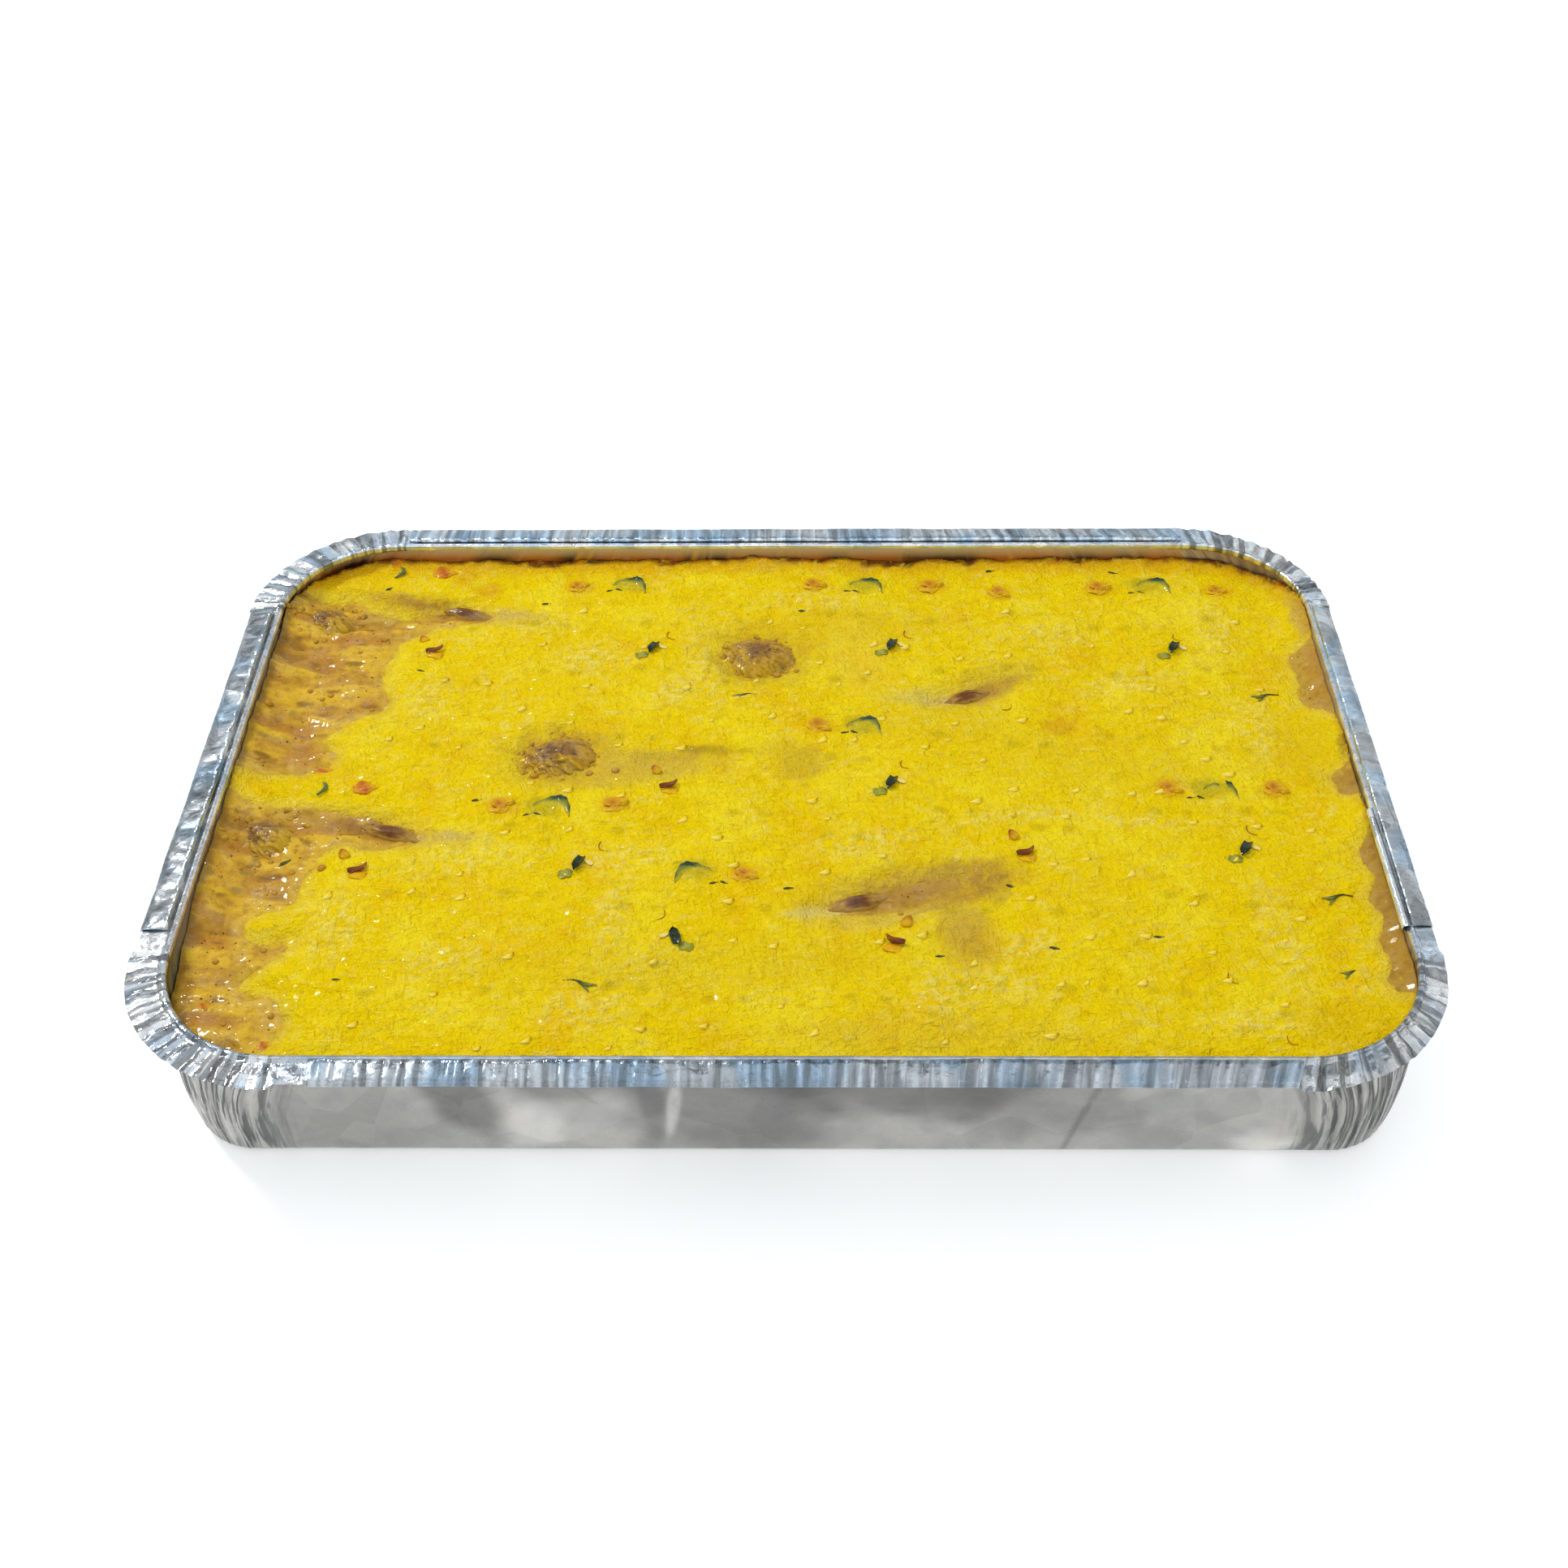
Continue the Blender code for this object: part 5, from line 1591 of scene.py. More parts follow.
@dataclass
class Meat:
    """The lumps of browned meat and the wet strips that stand in the food."""

    relief: FoodRelief
    lumps: tuple = (
        Lump("meat_lump_1", -8, 53, 35.7, 10.2, 8.6, 4.4, -12),
        Lump("meat_lump_2", -62, 10, 35.7, 10.0, 8.4, 4.4, 14),
        Lump("meat_lump_3", -136.5, 70, 34.6, 8.6, 7.0, 4.2, -8),
        Lump("meat_lump_4", -136.0, -20, 34.6, 8.8, 7.2, 4.2, 10),
    )
    strips: tuple = (
        Lump("beef_strip_1", -95, 74.5, 36.2, 9.0, 2.4, 1.9, -16),
        Lump("beef_strip_2", 51, 36.5, 36.2, 7.5, 2.4, 1.9, 19),
        Lump("beef_strip_3", -103, -18.5, 36.2, 9.0, 2.4, 1.9, -17),
        Lump("beef_strip_4", 19, -43.5, 36.2, 8.5, 2.5, 1.9, 17),
    )

    def lump(self, which: Lump, seed: int) -> Piece:
        """A craggy lump: a dark core on an olive-gold body.

        Args:
            which: its place and size.
            seed: start of its own noise.

        Returns:
            The shaped and painted piece.
        """
        obj = unit_ball(f"{which.node}_rough", 6)
        ball = read_points(obj)
        noise = Noise(seed)
        a, b = ball[:, 0] + 0.6 * ball[:, 2], ball[:, 1] - 0.5 * ball[:, 2]
        sizes = ((0.8, 0.22), (0.34, 0.12), (0.15, 0.13), (0.07, 0.09))
        crag = sum(noise(a, b, size) * height for size, height in sizes)
        form = ball * (1.0 + crag)[:, None]
        form[:, 2] = np.minimum(form[:, 2], 1.22)
        write_points(obj, which.local(form))
        spread = np.hypot(ball[:, 0] + 0.12, ball[:, 1] - 0.15)
        core = 1 - smooth(0.05, 0.75, spread + 0.5 * noise(a, b, 0.4) + 0.5 * noise(a, b, 0.16))
        body = smooth(-0.1, 0.6, -ball[:, 1] + 1.2 * noise(a, b, 0.5))
        speck = smooth(0.22, 0.42, noise(a, b, 0.10)) * smooth(0.1, 0.5, core)
        paint(obj, layered(
            srgb(190, 146, 42),
            (srgb(200, 158, 22), 0.8 * body),
            (srgb(128, 90, 36), 0.6 * smooth(0.05, 0.4, noise(b, a, 0.24))),
            (srgb(122, 84, 54), 0.9 * core),
            # darker in the hollows between the crags: painted shade
            (srgb(112, 80, 30), smooth(0.02, 0.26, -crag)),
            (srgb(48, 32, 22), 0.85 * speck),
        ))
        shade(obj)
        return obj

    def strip(self, which: Lump, seed: int) -> Piece:
        """A wet strip: a smooth dark back that runs out to a pale tail.

        Args:
            which: its place and size.
            seed: start of its own noise.

        Returns:
            The shaped and painted piece.
        """
        obj = unit_ball(f"{which.node}_wet", 5)
        ball = read_points(obj)
        noise = Noise(seed)
        form = ball.copy()
        narrow = 1 - 0.45 * np.abs(ball[:, 0]) ** 3
        form[:, 1] = ball[:, 1] * narrow + 0.22 * noise(ball[:, 0], 0 * ball[:, 0], 0.7)
        form[:, 2] = ball[:, 2] * narrow
        form *= (1 + 0.10 * noise(ball[:, 0] * 2, ball[:, 1], 0.5))[:, None]
        write_points(obj, which.local(form))
        tail = smooth(0.1, 0.75, np.abs(ball[:, 0] + 0.1) + 0.5 * noise(ball[:, 0], ball[:, 1], 0.3))
        low = 1 - smooth(0.35, 0.8, ball[:, 2] + 0.3 * noise(ball[:, 0], ball[:, 1], 0.25))
        paint(obj, layered(
            srgb(108, 62, 28),
            (srgb(74, 38, 14), smooth(0.0, 0.5, noise(ball[:, 0], ball[:, 1], 0.35))),
            (srgb(178, 138, 58), np.maximum(0.9 * tail, low)),
        ))
        shade(obj)
        return obj

    def build(self, effects: Effects) -> None:
        """Make and dress every piece of meat."""
        browned = MoistFinish(
            "browned_meat_surface", srgb(84, 54, 20), srgb(206, 160, 66), 900.0, 0.35 * MM,
            dark_share=0.35, roughness=0.36, coat=0.8,
        ).build(effects)
        wet = MoistFinish(
            "wet_beef_surface", srgb(52, 28, 12), srgb(140, 100, 60), 420.0, 0.18 * MM,
            dark_share=0.35, roughness=0.2, coat=1.0,
        ).build(effects)
        for number, which in enumerate(self.lumps):
            set_out(self.lump(which, 40 + number), browned, [which.node])
        for number, which in enumerate(self.strips):
            set_out(self.strip(which, 60 + number), wet, [which.node])


@dataclass(frozen=True)
class Spot:
    """Where a small topping lies: place in millimetres, turn in degrees, size and side."""

    x: float
    y: float
    turn: float = 0.0
    size: float = 1.0
    mirrored: bool = False
    sunk: float = 0.0


@dataclass
class Sprinkles:
    """The small things on the food, each kind modelled once and laid on the surface."""

    relief: FoodRelief

    def _blade(
        self, name: str, outline: Callable[[Array], Array], length: float, curl: Shape,
        rows: int = 6, columns: int = 14, thickness: float = 0.3,
    ) -> Piece:
        """A thin curled blade, lengths in millimetres.

        Args:
            name: the object's name.
            outline: half width at shares along the blade.
            length: length of the blade.
            curl: height at shares along and across it.
            rows: faces across.
            columns: faces along.
            thickness: of the blade.

        Returns:
            The blade, round the origin.
        """
        def shape(u: Array, v: Array) -> Array:
            side = 2 * v - 1
            return np.stack([(u - 0.5) * length, side * outline(u), curl(u, side)], axis=1) * MM

        blade = wrapped_grid(name, columns, rows, shape)
        pick(blade)
        modifier = blade.modifiers.new("thicken", "SOLIDIFY")
        modifier.thickness = thickness * MM
        modifier.offset = 0.0
        bpy.ops.object.modifier_apply(modifier=modifier.name)
        return blade

    def _blob(self, name: str, half: Colour, seed: int, detail: int = 3, rough: float = 0.3) -> Piece:
        """A small rough blob with half sizes in millimetres."""
        obj = unit_ball(name, detail)
        ball = read_points(obj)
        x, y, z = ball.T
        noise = Noise(seed)
        bump = 1 + rough * (noise(x + z, y, 0.8) + 0.5 * noise(x, y + z, 0.35))
        write_points(obj, ball * bump[:, None] * np.array(half) * MM)
        return obj

    def _lay(self, name: str, source: Piece, spots: Sequence[Spot], lift: float) -> Piece:
        """Copies of a topping laid on the food, joined into one piece.

        Args:
            name: the piece's name.
            source: the topping, round the origin. It is used up.
            spots: where the copies lie.
            lift: height of the topping's own origin above the food, in millimetres.

        Returns:
            The joined piece.
        """
        model = read_points(source)
        copies = []
        for spot in spots:
            copy = source.copy()
            copy.data = source.data.copy()
            bpy.context.scene.collection.objects.link(copy)
            points = model * spot.size
            if spot.mirrored:
                points[:, 0] *= -1
            turn = math.radians(spot.turn)
            x = spot.x * MM + points[:, 0] * math.cos(turn) - points[:, 1] * math.sin(turn)
            y = spot.y * MM + points[:, 0] * math.sin(turn) + points[:, 1] * math.cos(turn)
            centre = self.relief.top([spot.x * MM], [spot.y * MM])[0]
            ground = 0.6 * self.relief.top(x, y) + 0.4 * centre
            write_points(copy, np.stack([x, y, ground + points[:, 2] + (lift - spot.sunk) * MM], axis=1))
            copies.append(copy)
        bpy.data.objects.remove(source, do_unlink=True)
        piece = join(name, copies)
        close_up(piece)
        shade(piece, 50)
        return piece

    def _tint(self, obj: Piece, colours: Sequence[Colour], pick_share: Callable[[Array], Array]) -> None:
        """Paint a topping before it is copied: a run of colours by a share worked out from its points."""
        points = read_points(obj) / MM
        share = np.clip(pick_share(points), 0, 1) * (len(colours) - 1)
        table = np.array(colours)
        low = np.floor(share).astype(int)
        high = np.minimum(low + 1, len(colours) - 1)
        paint(obj, table[low] + (table[high] - table[low]) * (share - low)[:, None])

    def herb_flakes(self) -> list[Piece]:
        """Dark folded bits of herb, each with a paler bit and a shred of cream beside it."""
        places = (
            Spot(-39, 56, 72), Spot(30, 57, 72), Spot(111, 55, 66), Spot(28, -2, 70), Spot(-53, -32, 72),
            Spot(118, -27, 64), Spot(-27, -57, 108, mirrored=True),
        )
        dark = self._blade(
            "dark_flake", lambda u: 0.85 + 0.4 * np.sin(u * 2.6) - 0.7 * smooth(0.72, 1.0, 1 - u), 5.2,
            lambda u, side: 0.35 + 0.55 * np.abs(side - 0.2) ** 1.5 + 0.25 * np.sin(u * 4.5),
        )
        self._tint(
            dark, (srgb(26, 34, 22), srgb(40, 52, 34), srgb(84, 92, 60)),
            lambda p: 0.2 + 0.35 * np.abs(p[:, 1]) + 0.1 * p[:, 0],
        )
        pale = self._blade(
            "pale_flake",
            lambda u: 1.5 * np.sqrt(np.clip(u * (1 - u) * 4, 0.05, 1)) + 0.25 * np.sin(u * 11), 4.0,
            lambda u, side: 0.12 + 0.15 * np.sin(u * 5 + side), thickness=0.25,
        )
        self._tint(
            pale, (srgb(140, 140, 40), srgb(168, 162, 52), srgb(110, 118, 44)), lambda p: 0.5 + 0.3 * p[:, 0],
        )
        shred = self._blade(
            "cream_shred", lambda u: 0.55 * np.sqrt(np.clip(u * (1 - u) * 4, 0.02, 1)), 2.6,
            lambda u, side: 0.25 + 0.3 * u * u, rows=3, columns=8, thickness=0.25,
        )
        self._tint(shred, (srgb(232, 214, 150), srgb(226, 204, 110)), lambda p: 0.5 + 0.3 * p[:, 0])
        beside, right = [], []
        for spot in places:
            side = -1 if spot.mirrored else 1
            beside.append(Spot(spot.x - 2.9 * side, spot.y - 3.1, 18 * side, mirrored=spot.mirrored))
            turn = 30 if spot.mirrored else 150
            right.append(Spot(spot.x + 2.7 * side, spot.y + 0.4, turn, mirrored=spot.mirrored))
        return [
            self._lay("herb_flakes", dark, places, 0.15),
            self._lay("pale_herbs", pale, beside, 0.02),
            self._lay("cream_shreds", shred, right, 0.05),
        ]

    def leaves(self) -> Piece:
        """Green leaves half sunk in the mash: a dark upper edge that curves down to a tip."""
        leaf = self._blade(
            "leaf",
            lambda u: 0.4 + 1.9 * np.sin(math.pi * np.clip(u, 0, 1)) ** 0.9 + 0.16 * np.sin(u * 31), 9.4,
            lambda u, side: 0.22 - 0.28 * (side - 0.4) ** 2 + 0.16 * np.sin(u * 9 + 2 * side),
            rows=8, columns=26,
        )
        along, across, _ = read_points(leaf).T / MM
        push(leaf, 1, lambda p: 1.2 - 3.2 * (p[:, 0] / 4.8) ** 2)
        dark = smooth(0.3, 1.5, across + 1.6 * Noise(83)(along, across, 1.7))
        olive = smooth(-0.9, 0.9, across)
        paint(leaf, layered(srgb(198, 176, 22), (srgb(120, 124, 40), olive), (srgb(44, 66, 48), dark)))
        spots = [
            Spot(-47, 86.5, -22, 1.12, sunk=0.1), Spot(24, 86.5, -22, 1.12, sunk=0.1),
            Spot(110, 85.5, -22, 1.08, sunk=0.1), Spot(22, 22.5, -22, 1.05, sunk=0.2),
            Spot(-61, -10, -22, 1.12, sunk=0.12), Spot(116, -4, -22, 1.02, sunk=0.2),
            Spot(-24, -35, 22, 1.06, True, sunk=0.1),
        ]
        return self._lay("green_leaves", leaf, spots, 0.02)

    def slivers(self) -> Piece:
        """Thin dark green slivers, singly and at the foot of each leaf."""
        sliver = self._blade(
            "sliver", lambda u: 0.1 + 0.3 * np.sin(math.pi * u), 2.7, lambda u, side: 0.12 * np.sin(u * 6),
            rows=3, columns=8, thickness=0.2,
        )
        self._tint(sliver, (srgb(50, 58, 28), srgb(92, 98, 40)), lambda p: 0.5 + 0.3 * p[:, 0])
        leaf_feet = (
            (-53.5, 83.4), (17.6, 83.2), (102.5, 82), (16, 19.2), (-68, -13.4), (107, -7.3), (-18, -38.6),
        )
        spots = [Spot(x, y, 12, 0.85) for x, y in leaf_feet]
        spots += [Spot(x + 2.6, y + 0.2, -16, 0.8) for x, y in leaf_feet]
        spots += [
            Spot(-72, 77, 0), Spot(-105, 46, -8, 0.8), Spot(61, 93, 8), Spot(-60, 97, -10),
            Spot(98, 92, -12, 1.1), Spot(57, -39, -8, 0.9), Spot(66, -61, -8), Spot(38, -63.5, 8, 0.9),
            Spot(1, -40, 6), Spot(-82, -8, 8),
            Spot(-35, 3.5, 0, 0.7), Spot(92, -57, 0, 1.0), Spot(-108, -71, 4, 0.8), Spot(4, 73, 0, 0.8),
            Spot(-129, -30, 50, 1.4), Spot(-120, 84, 40, 0.9),
        ]
        return self._lay("herb_slivers", sliver, spots, 0.05)

    def sprigs(self) -> Piece:
        """Thin dark sprigs with a tail to one side."""
        stem = self._blade(
            "stem", lambda u: 0.12 + 0.42 * np.exp(-((u - 0.35) / 0.2) ** 2), 8.0,
            lambda u, side: 0.15 + 0.2 * np.sin(u * 5), rows=3, columns=18,
        )
        push(stem, 1, lambda p: 0.35 * np.sin(p[:, 0] * 1.1))
        arm = self._blade(
            "arm", lambda u: 0.1 + 0.35 * np.sin(math.pi * u), 3.6, lambda u, side: 0.1 + 0.1 * u,
            rows=3, columns=10,
        )
        points = read_points(arm)
        x, y = points[:, 0].copy(), points[:, 1].copy()
        points[:, 0] = 0.7 * x - 0.7 * y - 1.6 * MM
        points[:, 1] = 0.7 * x + 0.7 * y - 1.0 * MM
        write_points(arm, points)
        sprig = join("sprig", [stem, arm])
        self._tint(
            sprig, (srgb(150, 150, 60), srgb(58, 66, 36), srgb(40, 46, 28)), lambda p: 0.5 + 0.14 * p[:, 0],
        )
        spots = [
            Spot(134, 35, 12), Spot(138, -44, 10), Spot(-49, -72, -14, 1.05, True),
            Spot(-12, 35, 14, 0.9, sunk=0.2), Spot(137, -68, 10, 0.85, sunk=0.25),
        ]
        return self._lay("herb_sprigs", sprig, spots, 0.05)

    def toasted(self) -> list[Piece]:
        """Toasted bits: a brown curl over a golden lump, with a small brown-tipped wedge behind it."""
        curl = self._blade(
            "curl", lambda u: 0.3 + 0.62 * np.sin(math.pi * np.clip(0.08 + 0.92 * u, 0, 1)) ** 0.7, 5.2,
            lambda u, side: 1.05 + 0.2 * side * np.cos(u * 5) - 0.5 * (u - 0.4) ** 2, columns=22,
        )
        push(curl, 1, lambda p: 0.12 * p[:, 0] ** 2 + 0.035 * p[:, 0] ** 3 + 0.35)
        self._tint(
            curl, (srgb(70, 30, 8), srgb(120, 58, 14), srgb(150, 84, 20)),
            lambda p: 0.4 + 0.2 * p[:, 1] + 0.1 * p[:, 0],
        )
        lump = self._blob("gold_lump", (2.4, 1.8, 0.9), 71, 4, 0.4)
        self._tint(
            lump, (srgb(202, 128, 4), srgb(226, 164, 4), srgb(230, 190, 6)), lambda p: 0.5 - 0.25 * p[:, 1],
        )
        tip = self._blob("tip", (1.3, 2.1, 1.0), 72, 3, 0.25)
        points = read_points(tip)
        points[:, 0] *= 1 - 0.38 * points[:, 1] / (2.0 * MM)
        write_points(tip, points)
        self._tint(
            tip, (srgb(222, 176, 16), srgb(196, 124, 14), srgb(92, 42, 10)),
            lambda p: 0.42 + 0.3 * p[:, 1] - 0.16 * p[:, 0],
        )
        curls = [
            Spot(-102, 54.5, 18), Spot(-31, -3.5, 18), Spot(62, -28.5, 18), Spot(-109, -34.5, 18),
            Spot(27, -59.5, -18, 1, True),
        ]
        lumps = [Spot(s.x + (0.3 if not s.mirrored else -0.3), s.y - 1.1, 0, 1.0, sunk=0.1) for s in curls]
        tips = [
            Spot(-106.3, 61.5, 25), Spot(-35, 4, 25, 0.9), Spot(59, -21.5, 25, 0.9), Spot(-114, -27.5, 25),
            Spot(30.5, -52, -25),
        ]
        return [
            self._lay("toasted_curls", curl, curls, 0.1),
            self._lay("toasted_lumps", lump, lumps, -0.05),
            self._lay("toasted_tips", tip, tips, 0.35),
        ]

    def spots(self) -> Piece:
        """Orange toasted spots, low and rough."""
        blob = self._blob("spot", (2.7, 2.1, 0.8), 73, 4, 0.65)
        self._tint(
            blob, (srgb(150, 84, 14), srgb(206, 140, 18), srgb(224, 178, 20)),
            lambda p: 0.15 + 0.35 * np.hypot(p[:, 0] + 0.6, p[:, 1] - 0.2),
        )
        rng = np.random.default_rng(9)
        spots = [
            Spot(x, y, rng.uniform(-25, 25), rng.uniform(0.95, 1.25), sunk=0.15) for x, y in ORANGE_SPOTS
        ]
        return self._lay("orange_spots", blob, spots, 0.25)

    def peaks(self) -> Piece:
        """Small raised flecks of cream, each running to a raised brown point at one end."""
        peak = self._blob("peak", (1.25, 0.62, 0.5), 74, 3, 0.4)
        push(peak, 1, lambda p: 0.32 * p[:, 0] ** 2)
        push(peak, 2, lambda p: 0.12 * (p[:, 0] > 0.6))
        self._tint(
            peak, (srgb(240, 218, 96), srgb(240, 212, 70), srgb(234, 200, 30), srgb(164, 90, 14)),
            lambda p: 0.35 + 0.5 * p[:, 0],
        )
        rng = np.random.default_rng(29)
        spots = []
        for x in np.arange(-112, 138, 13.5):
            for y in np.arange(-90, 84, 14.5):
                place = np.array([x, y]) + rng.uniform(-5.5, 5.5, 2)
                if rng.uniform() < 0.42 or self.relief.gap_distance(*(place[:, None] * MM))[0] < 5 * MM:
                    continue
                turn, size, sunk = rng.uniform(10, 60), rng.uniform(0.8, 1.45), rng.uniform(0.0, 0.2)
                spots.append(Spot(*place, turn, size, sunk=sunk))
        return self._lay("cream_peaks", peak, spots, 0.12)

    def hooks(self) -> Piece:
        """Fine brown hooked threads."""
        hook = self._blade(
            "hook", lambda u: 0.16 * (1.2 - u), 4.2, lambda u, side: 0.1 + 0.1 * u,
            rows=2, columns=16, thickness=0.22,
        )
        push(hook, 1, lambda p: 0.3 * p[:, 0] ** 2)
        self._tint(hook, (srgb(150, 80, 12), srgb(196, 140, 20)), lambda p: 0.5 + 0.25 * p[:, 0])
        spots = [
            Spot(34, 61.5, -60), Spot(-35, 61, -60), Spot(62, 29, 40, 0.8), Spot(107, -71, -60, 0.9),
            Spot(118, -90, -50, 0.8), Spot(-48, -26, -60), Spot(-30, -50, 60, 0.9, True),
            Spot(112, 60, -60, 0.9), Spot(31, 5, -60, 0.9), Spot(120, -20, -60),
        ]
        return self._lay("brown_threads", hook, spots, 0.02)

    def pepper(self) -> list[Piece]:
        """Bits of red pepper, and the curled green bits beside them."""
        bit = self._blob("bit", (3.6, 2.3, 0.8), 75, 4, 0.7)
        self._tint(
            bit, (srgb(214, 146, 26), srgb(186, 88, 22), srgb(218, 160, 24)),
            lambda p: 0.5 + 0.2 * p[:, 0] + 0.1 * p[:, 1],
        )
        green = self._blade(
            "green_curl", lambda u: 0.35 + 0.35 * u, 5.2, lambda u, side: 0.3 + 0.3 * np.sin(u * 4),
            rows=3, columns=14,
        )
        push(green, 1, lambda p: 0.22 * p[:, 0] ** 2)
        self._tint(green, (srgb(70, 96, 60), srgb(104, 120, 60)), lambda p: 0.5 + 0.2 * p[:, 0])
        bits = [
            Spot(-105, 93, 0), Spot(-113, -3, 0, 0.9), Spot(-126, 5.5, 20, 0.7), Spot(-122, -90, 10, 0.5),
            Spot(-139, -78, 0, 0.5),
        ]
        greens = [Spot(-117, 92, 75), Spot(-123, -4, 75, 0.9)]
        return [self._lay("pepper_bits", bit, bits, -0.2), self._lay("green_curls", green, greens, 0.1)]

    def bubbles(self) -> Piece:
        """Amber beads of oil on the filling and beside the meat."""
        bead = self._blob("bead", (1.0, 0.9, 0.7), 76, 3, 0.12)
        self._tint(bead, (srgb(150, 100, 22), srgb(196, 146, 40)), lambda p: 0.5 + 0.4 * p[:, 2])
        rng = np.random.default_rng(33)
        spots = [
            Spot(-3, 45.5, 0, 1.2), Spot(2.5, 47, 0, 0.8), Spot(-53, 3.2, 0, 1.1), Spot(-68, 2.6, 0, 1.2),
            Spot(-46, 3.4, 0, 1.1), Spot(-118, 62, 0, 1.2), Spot(-119, -32, 0, 1.2), Spot(29, -47.5, 0, 0.7),
            Spot(-145, 30, 0, 1.2),
        ]
        tries = rng.uniform((-146, -92), (-92, 82), (420, 2))
        gaps = self.relief.gap_distance(*(tries.T * MM))
        for place, gap in zip(tries, gaps):
            if gap < -1.5 * MM and len(spots) < 62:
                spots.append(Spot(*place, rng.uniform(0, 180), rng.uniform(0.3, 0.95), sunk=0.2))
        return self._lay("oil_beads", bead, spots, 0.1)

    def specks(self) -> Piece:
        """Pepper specks and crumbs of browned mince in the filling."""
        speck = self._blob("speck", (0.42, 0.3, 0.25), 77, 1, 0.5)
        self._tint(speck, (srgb(84, 56, 26), srgb(146, 92, 40)), lambda p: 0.5 + p[:, 0])
        rng = np.random.default_rng(44)
        tries = rng.uniform((-147, -94), (148, 94), (5200, 2))
        gaps = self.relief.gap_distance(*(tries.T * MM))
        spots = [
            Spot(*place, rng.uniform(0, 180), rng.uniform(0.35, 1.1), sunk=0.08)
            for place, gap in zip(tries, gaps)
            if gap < -0.8 * MM and self.relief.plan.inside(place[0] * MM, place[1] * MM, 38 * MM) > 1.5 * MM
        ]
        return self._lay("dark_specks", speck, spots[:170], 0.02)

    def crumbs(self) -> Piece:
        """Rough crumbs of mince round the edge of each lump."""
        crumb = self._blob("crumb", (0.95, 0.8, 0.7), 78, 3, 0.6)
        self._tint(
            crumb, (srgb(96, 64, 34), srgb(176, 132, 48), srgb(206, 164, 40)),
            lambda p: 0.45 + 0.5 * p[:, 2] + 0.3 * p[:, 0],
        )
        rng = np.random.default_rng(55)
        spots = []
        for x, y in ((-8, 53), (-62, 10), (-136.5, 70), (-136, -20)):
            for turn in rng.uniform(0, 360, 20):
                reach = rng.uniform(0.9, 1.3)
                place = x + 9.4 * reach * math.cos(turn), y + 8.0 * reach * math.sin(turn)
                spots.append(Spot(*place, turn, rng.uniform(0.4, 1.2), sunk=rng.uniform(0.1, 0.5)))
        return self._lay("meat_crumbs", crumb, spots, 0.1)

    def build(self, effects: Effects) -> None:
        """Make and dress every kind of small topping."""
        finishes = (
            MoistFinish("herb", srgb(20, 28, 16), srgb(150, 150, 80), 1400.0, 0.12 * MM, 0.3, 0.35, 0.5),
            MoistFinish("toasted", srgb(90, 44, 10), srgb(240, 205, 90), 1500.0, 0.15 * MM, 0.25, 0.4, 0.3),
            MoistFinish("cream", srgb(206, 150, 20), srgb(244, 226, 130), 1500.0, 0.12 * MM, 0.15, 0.4, 0.3),
            MoistFinish("oil", srgb(110, 68, 14), srgb(226, 190, 90), 700.0, 0.03 * MM, 0.2, 0.08, 1.0),
        )
        herb, crust, cream, oil = (finish.build(effects) for finish in finishes)
        flakes, pale, shreds = self.herb_flakes()
        curls, lumps, tips = self.toasted()
        bits, greens = self.pepper()
        for piece in (flakes, pale, self.leaves(), self.slivers(), self.sprigs(), greens):
            set_out(piece, herb)
        for piece in (curls, lumps, tips, self.spots(), self.hooks(), bits):
            set_out(piece, crust)
        for piece in (shreds, self.peaks()):
            set_out(piece, cream)
        set_out(self.bubbles(), oil)
        set_out(self.specks(), crust)
        set_out(self.crumbs(), crust)


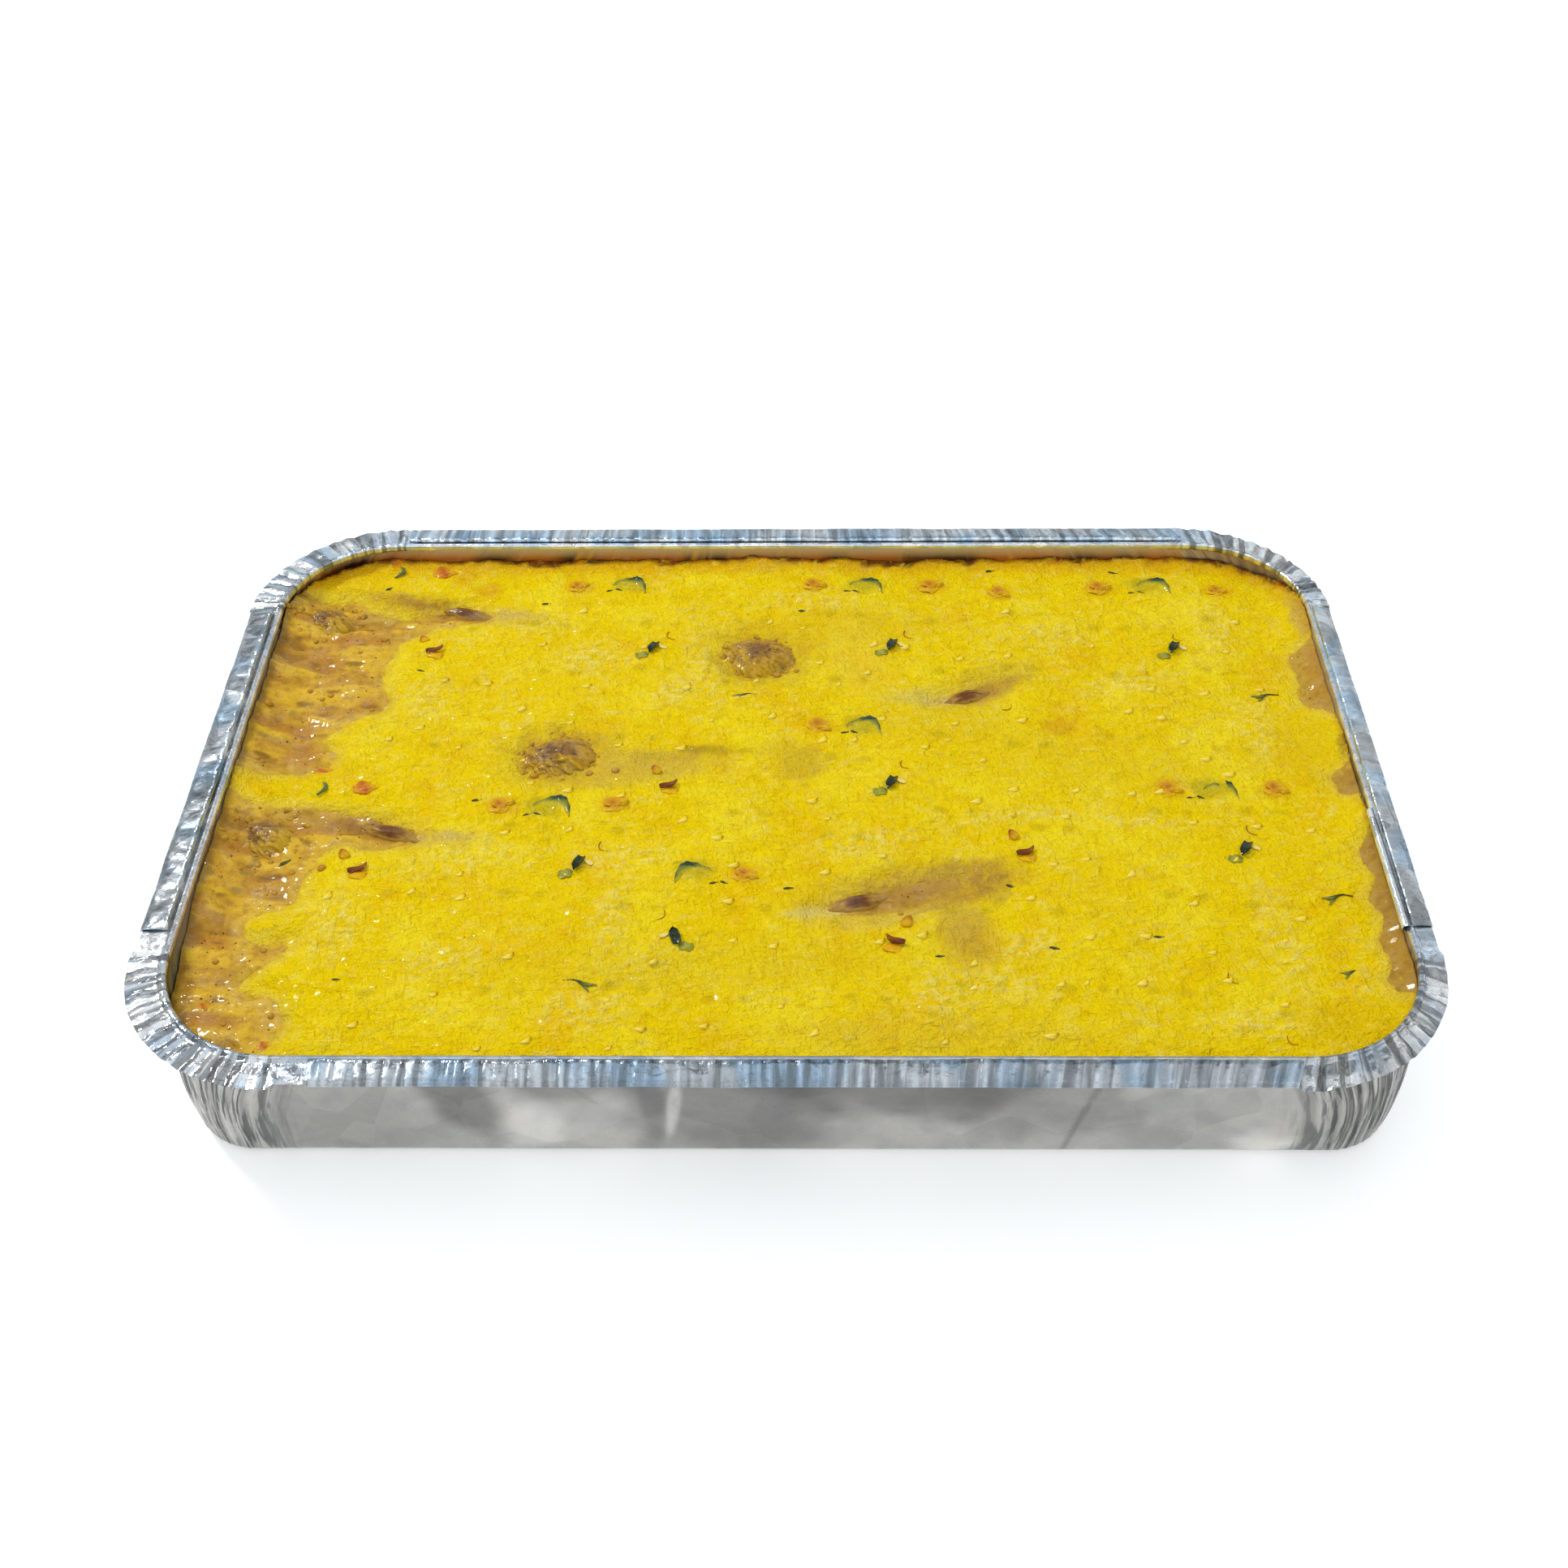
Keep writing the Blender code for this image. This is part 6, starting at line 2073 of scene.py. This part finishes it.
@dataclass
class Studio:
    """The pale floor, soft lights, the room that the foil mirrors, and the photograph's camera."""

    image_size: int = 1932
    focal_pixels: float = 2353.0
    sensor: float = 36.0
    camera_x: float = 6.24 * MM
    camera_y: float = -375.5 * MM
    camera_z: float = 385.8 * MM
    pitch: float = 42.88
    yaw: float = 1.04
    roll: float = -0.75

    def camera(self) -> None:
        """The camera at the photograph's viewing point, angle and field of view."""
        data = bpy.data.cameras.new("view")
        data.sensor_width = self.sensor
        data.lens = self.sensor * self.focal_pixels / self.image_size
        data.clip_start = 0.01
        view = bpy.data.objects.new("view", data)
        bpy.context.scene.collection.objects.link(view)
        turn = (
            Matrix.Rotation(math.radians(self.yaw), 4, "Z")
            @ Matrix.Rotation(math.radians(90 - self.pitch), 4, "X")
            @ Matrix.Rotation(math.radians(self.roll), 4, "Z")
        )
        view.matrix_world = Matrix.Translation(Vector((self.camera_x, self.camera_y, self.camera_z))) @ turn
        bpy.context.scene.camera = view

    def floor(self) -> None:
        """A wide pale floor just under the tray."""
        deselect()
        bpy.ops.mesh.primitive_plane_add(size=8.0, location=(0, 0, -0.05 * MM))
        floor = bpy.context.object
        floor.name = "floor"
        material, graph, shader = new_material(
            "floor", Roughness=0.75, Specular_IOR_Level=0.1, Emission_Strength=0.4,
        )
        shader.inputs["Emission Color"].default_value = (1.0, 1.0, 1.0, 1.0)
        shade_of = graph.ramp(graph.noise(graph.place(), 3.0, 2.0), 0.3, 0.7)
        colour = graph.mix(shade_of, (0.93, 0.93, 0.93), (0.95, 0.95, 0.95))
        graph.tree.links.new(colour, shader.inputs["Base Color"])
        floor.data.materials.append(material)

    @staticmethod
    def lamp(name: str, size: float, power: float, place: Colour, colour: Colour = (1, 1, 1)) -> None:
        """A square soft light that faces the tray."""
        data = bpy.data.lights.new(name, "AREA")
        data.size = size
        data.energy = power
        data.color = colour
        lamp = bpy.data.objects.new(name, data)
        bpy.context.scene.collection.objects.link(lamp)
        aim = (-Vector(place)).to_track_quat("-Z", "Y").to_matrix().to_4x4()
        lamp.matrix_world = Matrix.Translation(Vector(place)) @ aim

    @staticmethod
    def room() -> None:
        """The surroundings: pale, with cooler and darker patches for the foil to mirror."""
        world = bpy.data.worlds.new("room")
        bpy.context.scene.world = world
        world.use_nodes = True
        graph = Graph(world.node_tree)
        direction = graph.add("ShaderNodeTexCoord").outputs["Generated"]
        patches = graph.ramp(graph.noise(direction, 4.0, 2.0, 0.4), 0.40, 0.58)
        cool = graph.ramp(graph.noise(direction, 2.6, 1.0), 0.42, 0.58)
        bright = graph.mix(cool, (0.78, 0.76, 0.73), (0.62, 0.80, 0.92))
        colour = graph.mix(patches, (0.20, 0.21, 0.21), bright)
        sparks = graph.ramp(graph.noise(direction, 9.0, 2.0), 0.66, 0.70)
        colour = graph.mix(sparks, colour, (2.2, 2.2, 2.2))
        background = world.node_tree.nodes["Background"]
        graph.tree.links.new(colour, background.inputs["Color"])
        background.inputs["Strength"].default_value = 1.0

    def build(self) -> None:
        """Set up everything that isn't part of the object."""
        self.camera()
        self.floor()
        self.room()
        self.lamp("overhead", 2.6, 13.0, (0.0, -0.2, 1.8))
        self.lamp("key", 0.26, 8.5, (-0.85, 0.6, 1.15), (1.0, 0.98, 0.95))
        self.lamp("glint", 0.04, 1.3, (-0.45, 1.0, 1.2))
        self.lamp("front_fill", 2.0, 7.0, (0.3, -1.9, 0.8))
        settings = bpy.context.scene.view_settings
        settings.view_transform = "Standard"
        settings.look = "None"


def main() -> None:
    """Build the meal piece by piece."""
    logging.basicConfig(level=logging.INFO, format="%(message)s")
    effects = Effects()
    plan = TrayPlan()
    relief = FoodRelief(plan)
    FoilTray(plan).build(effects)
    Food(relief).build(effects)
    Meat(relief).build(effects)
    Sprinkles(relief).build(effects)
    Studio().build()


if __name__ == "__main__":
    main()
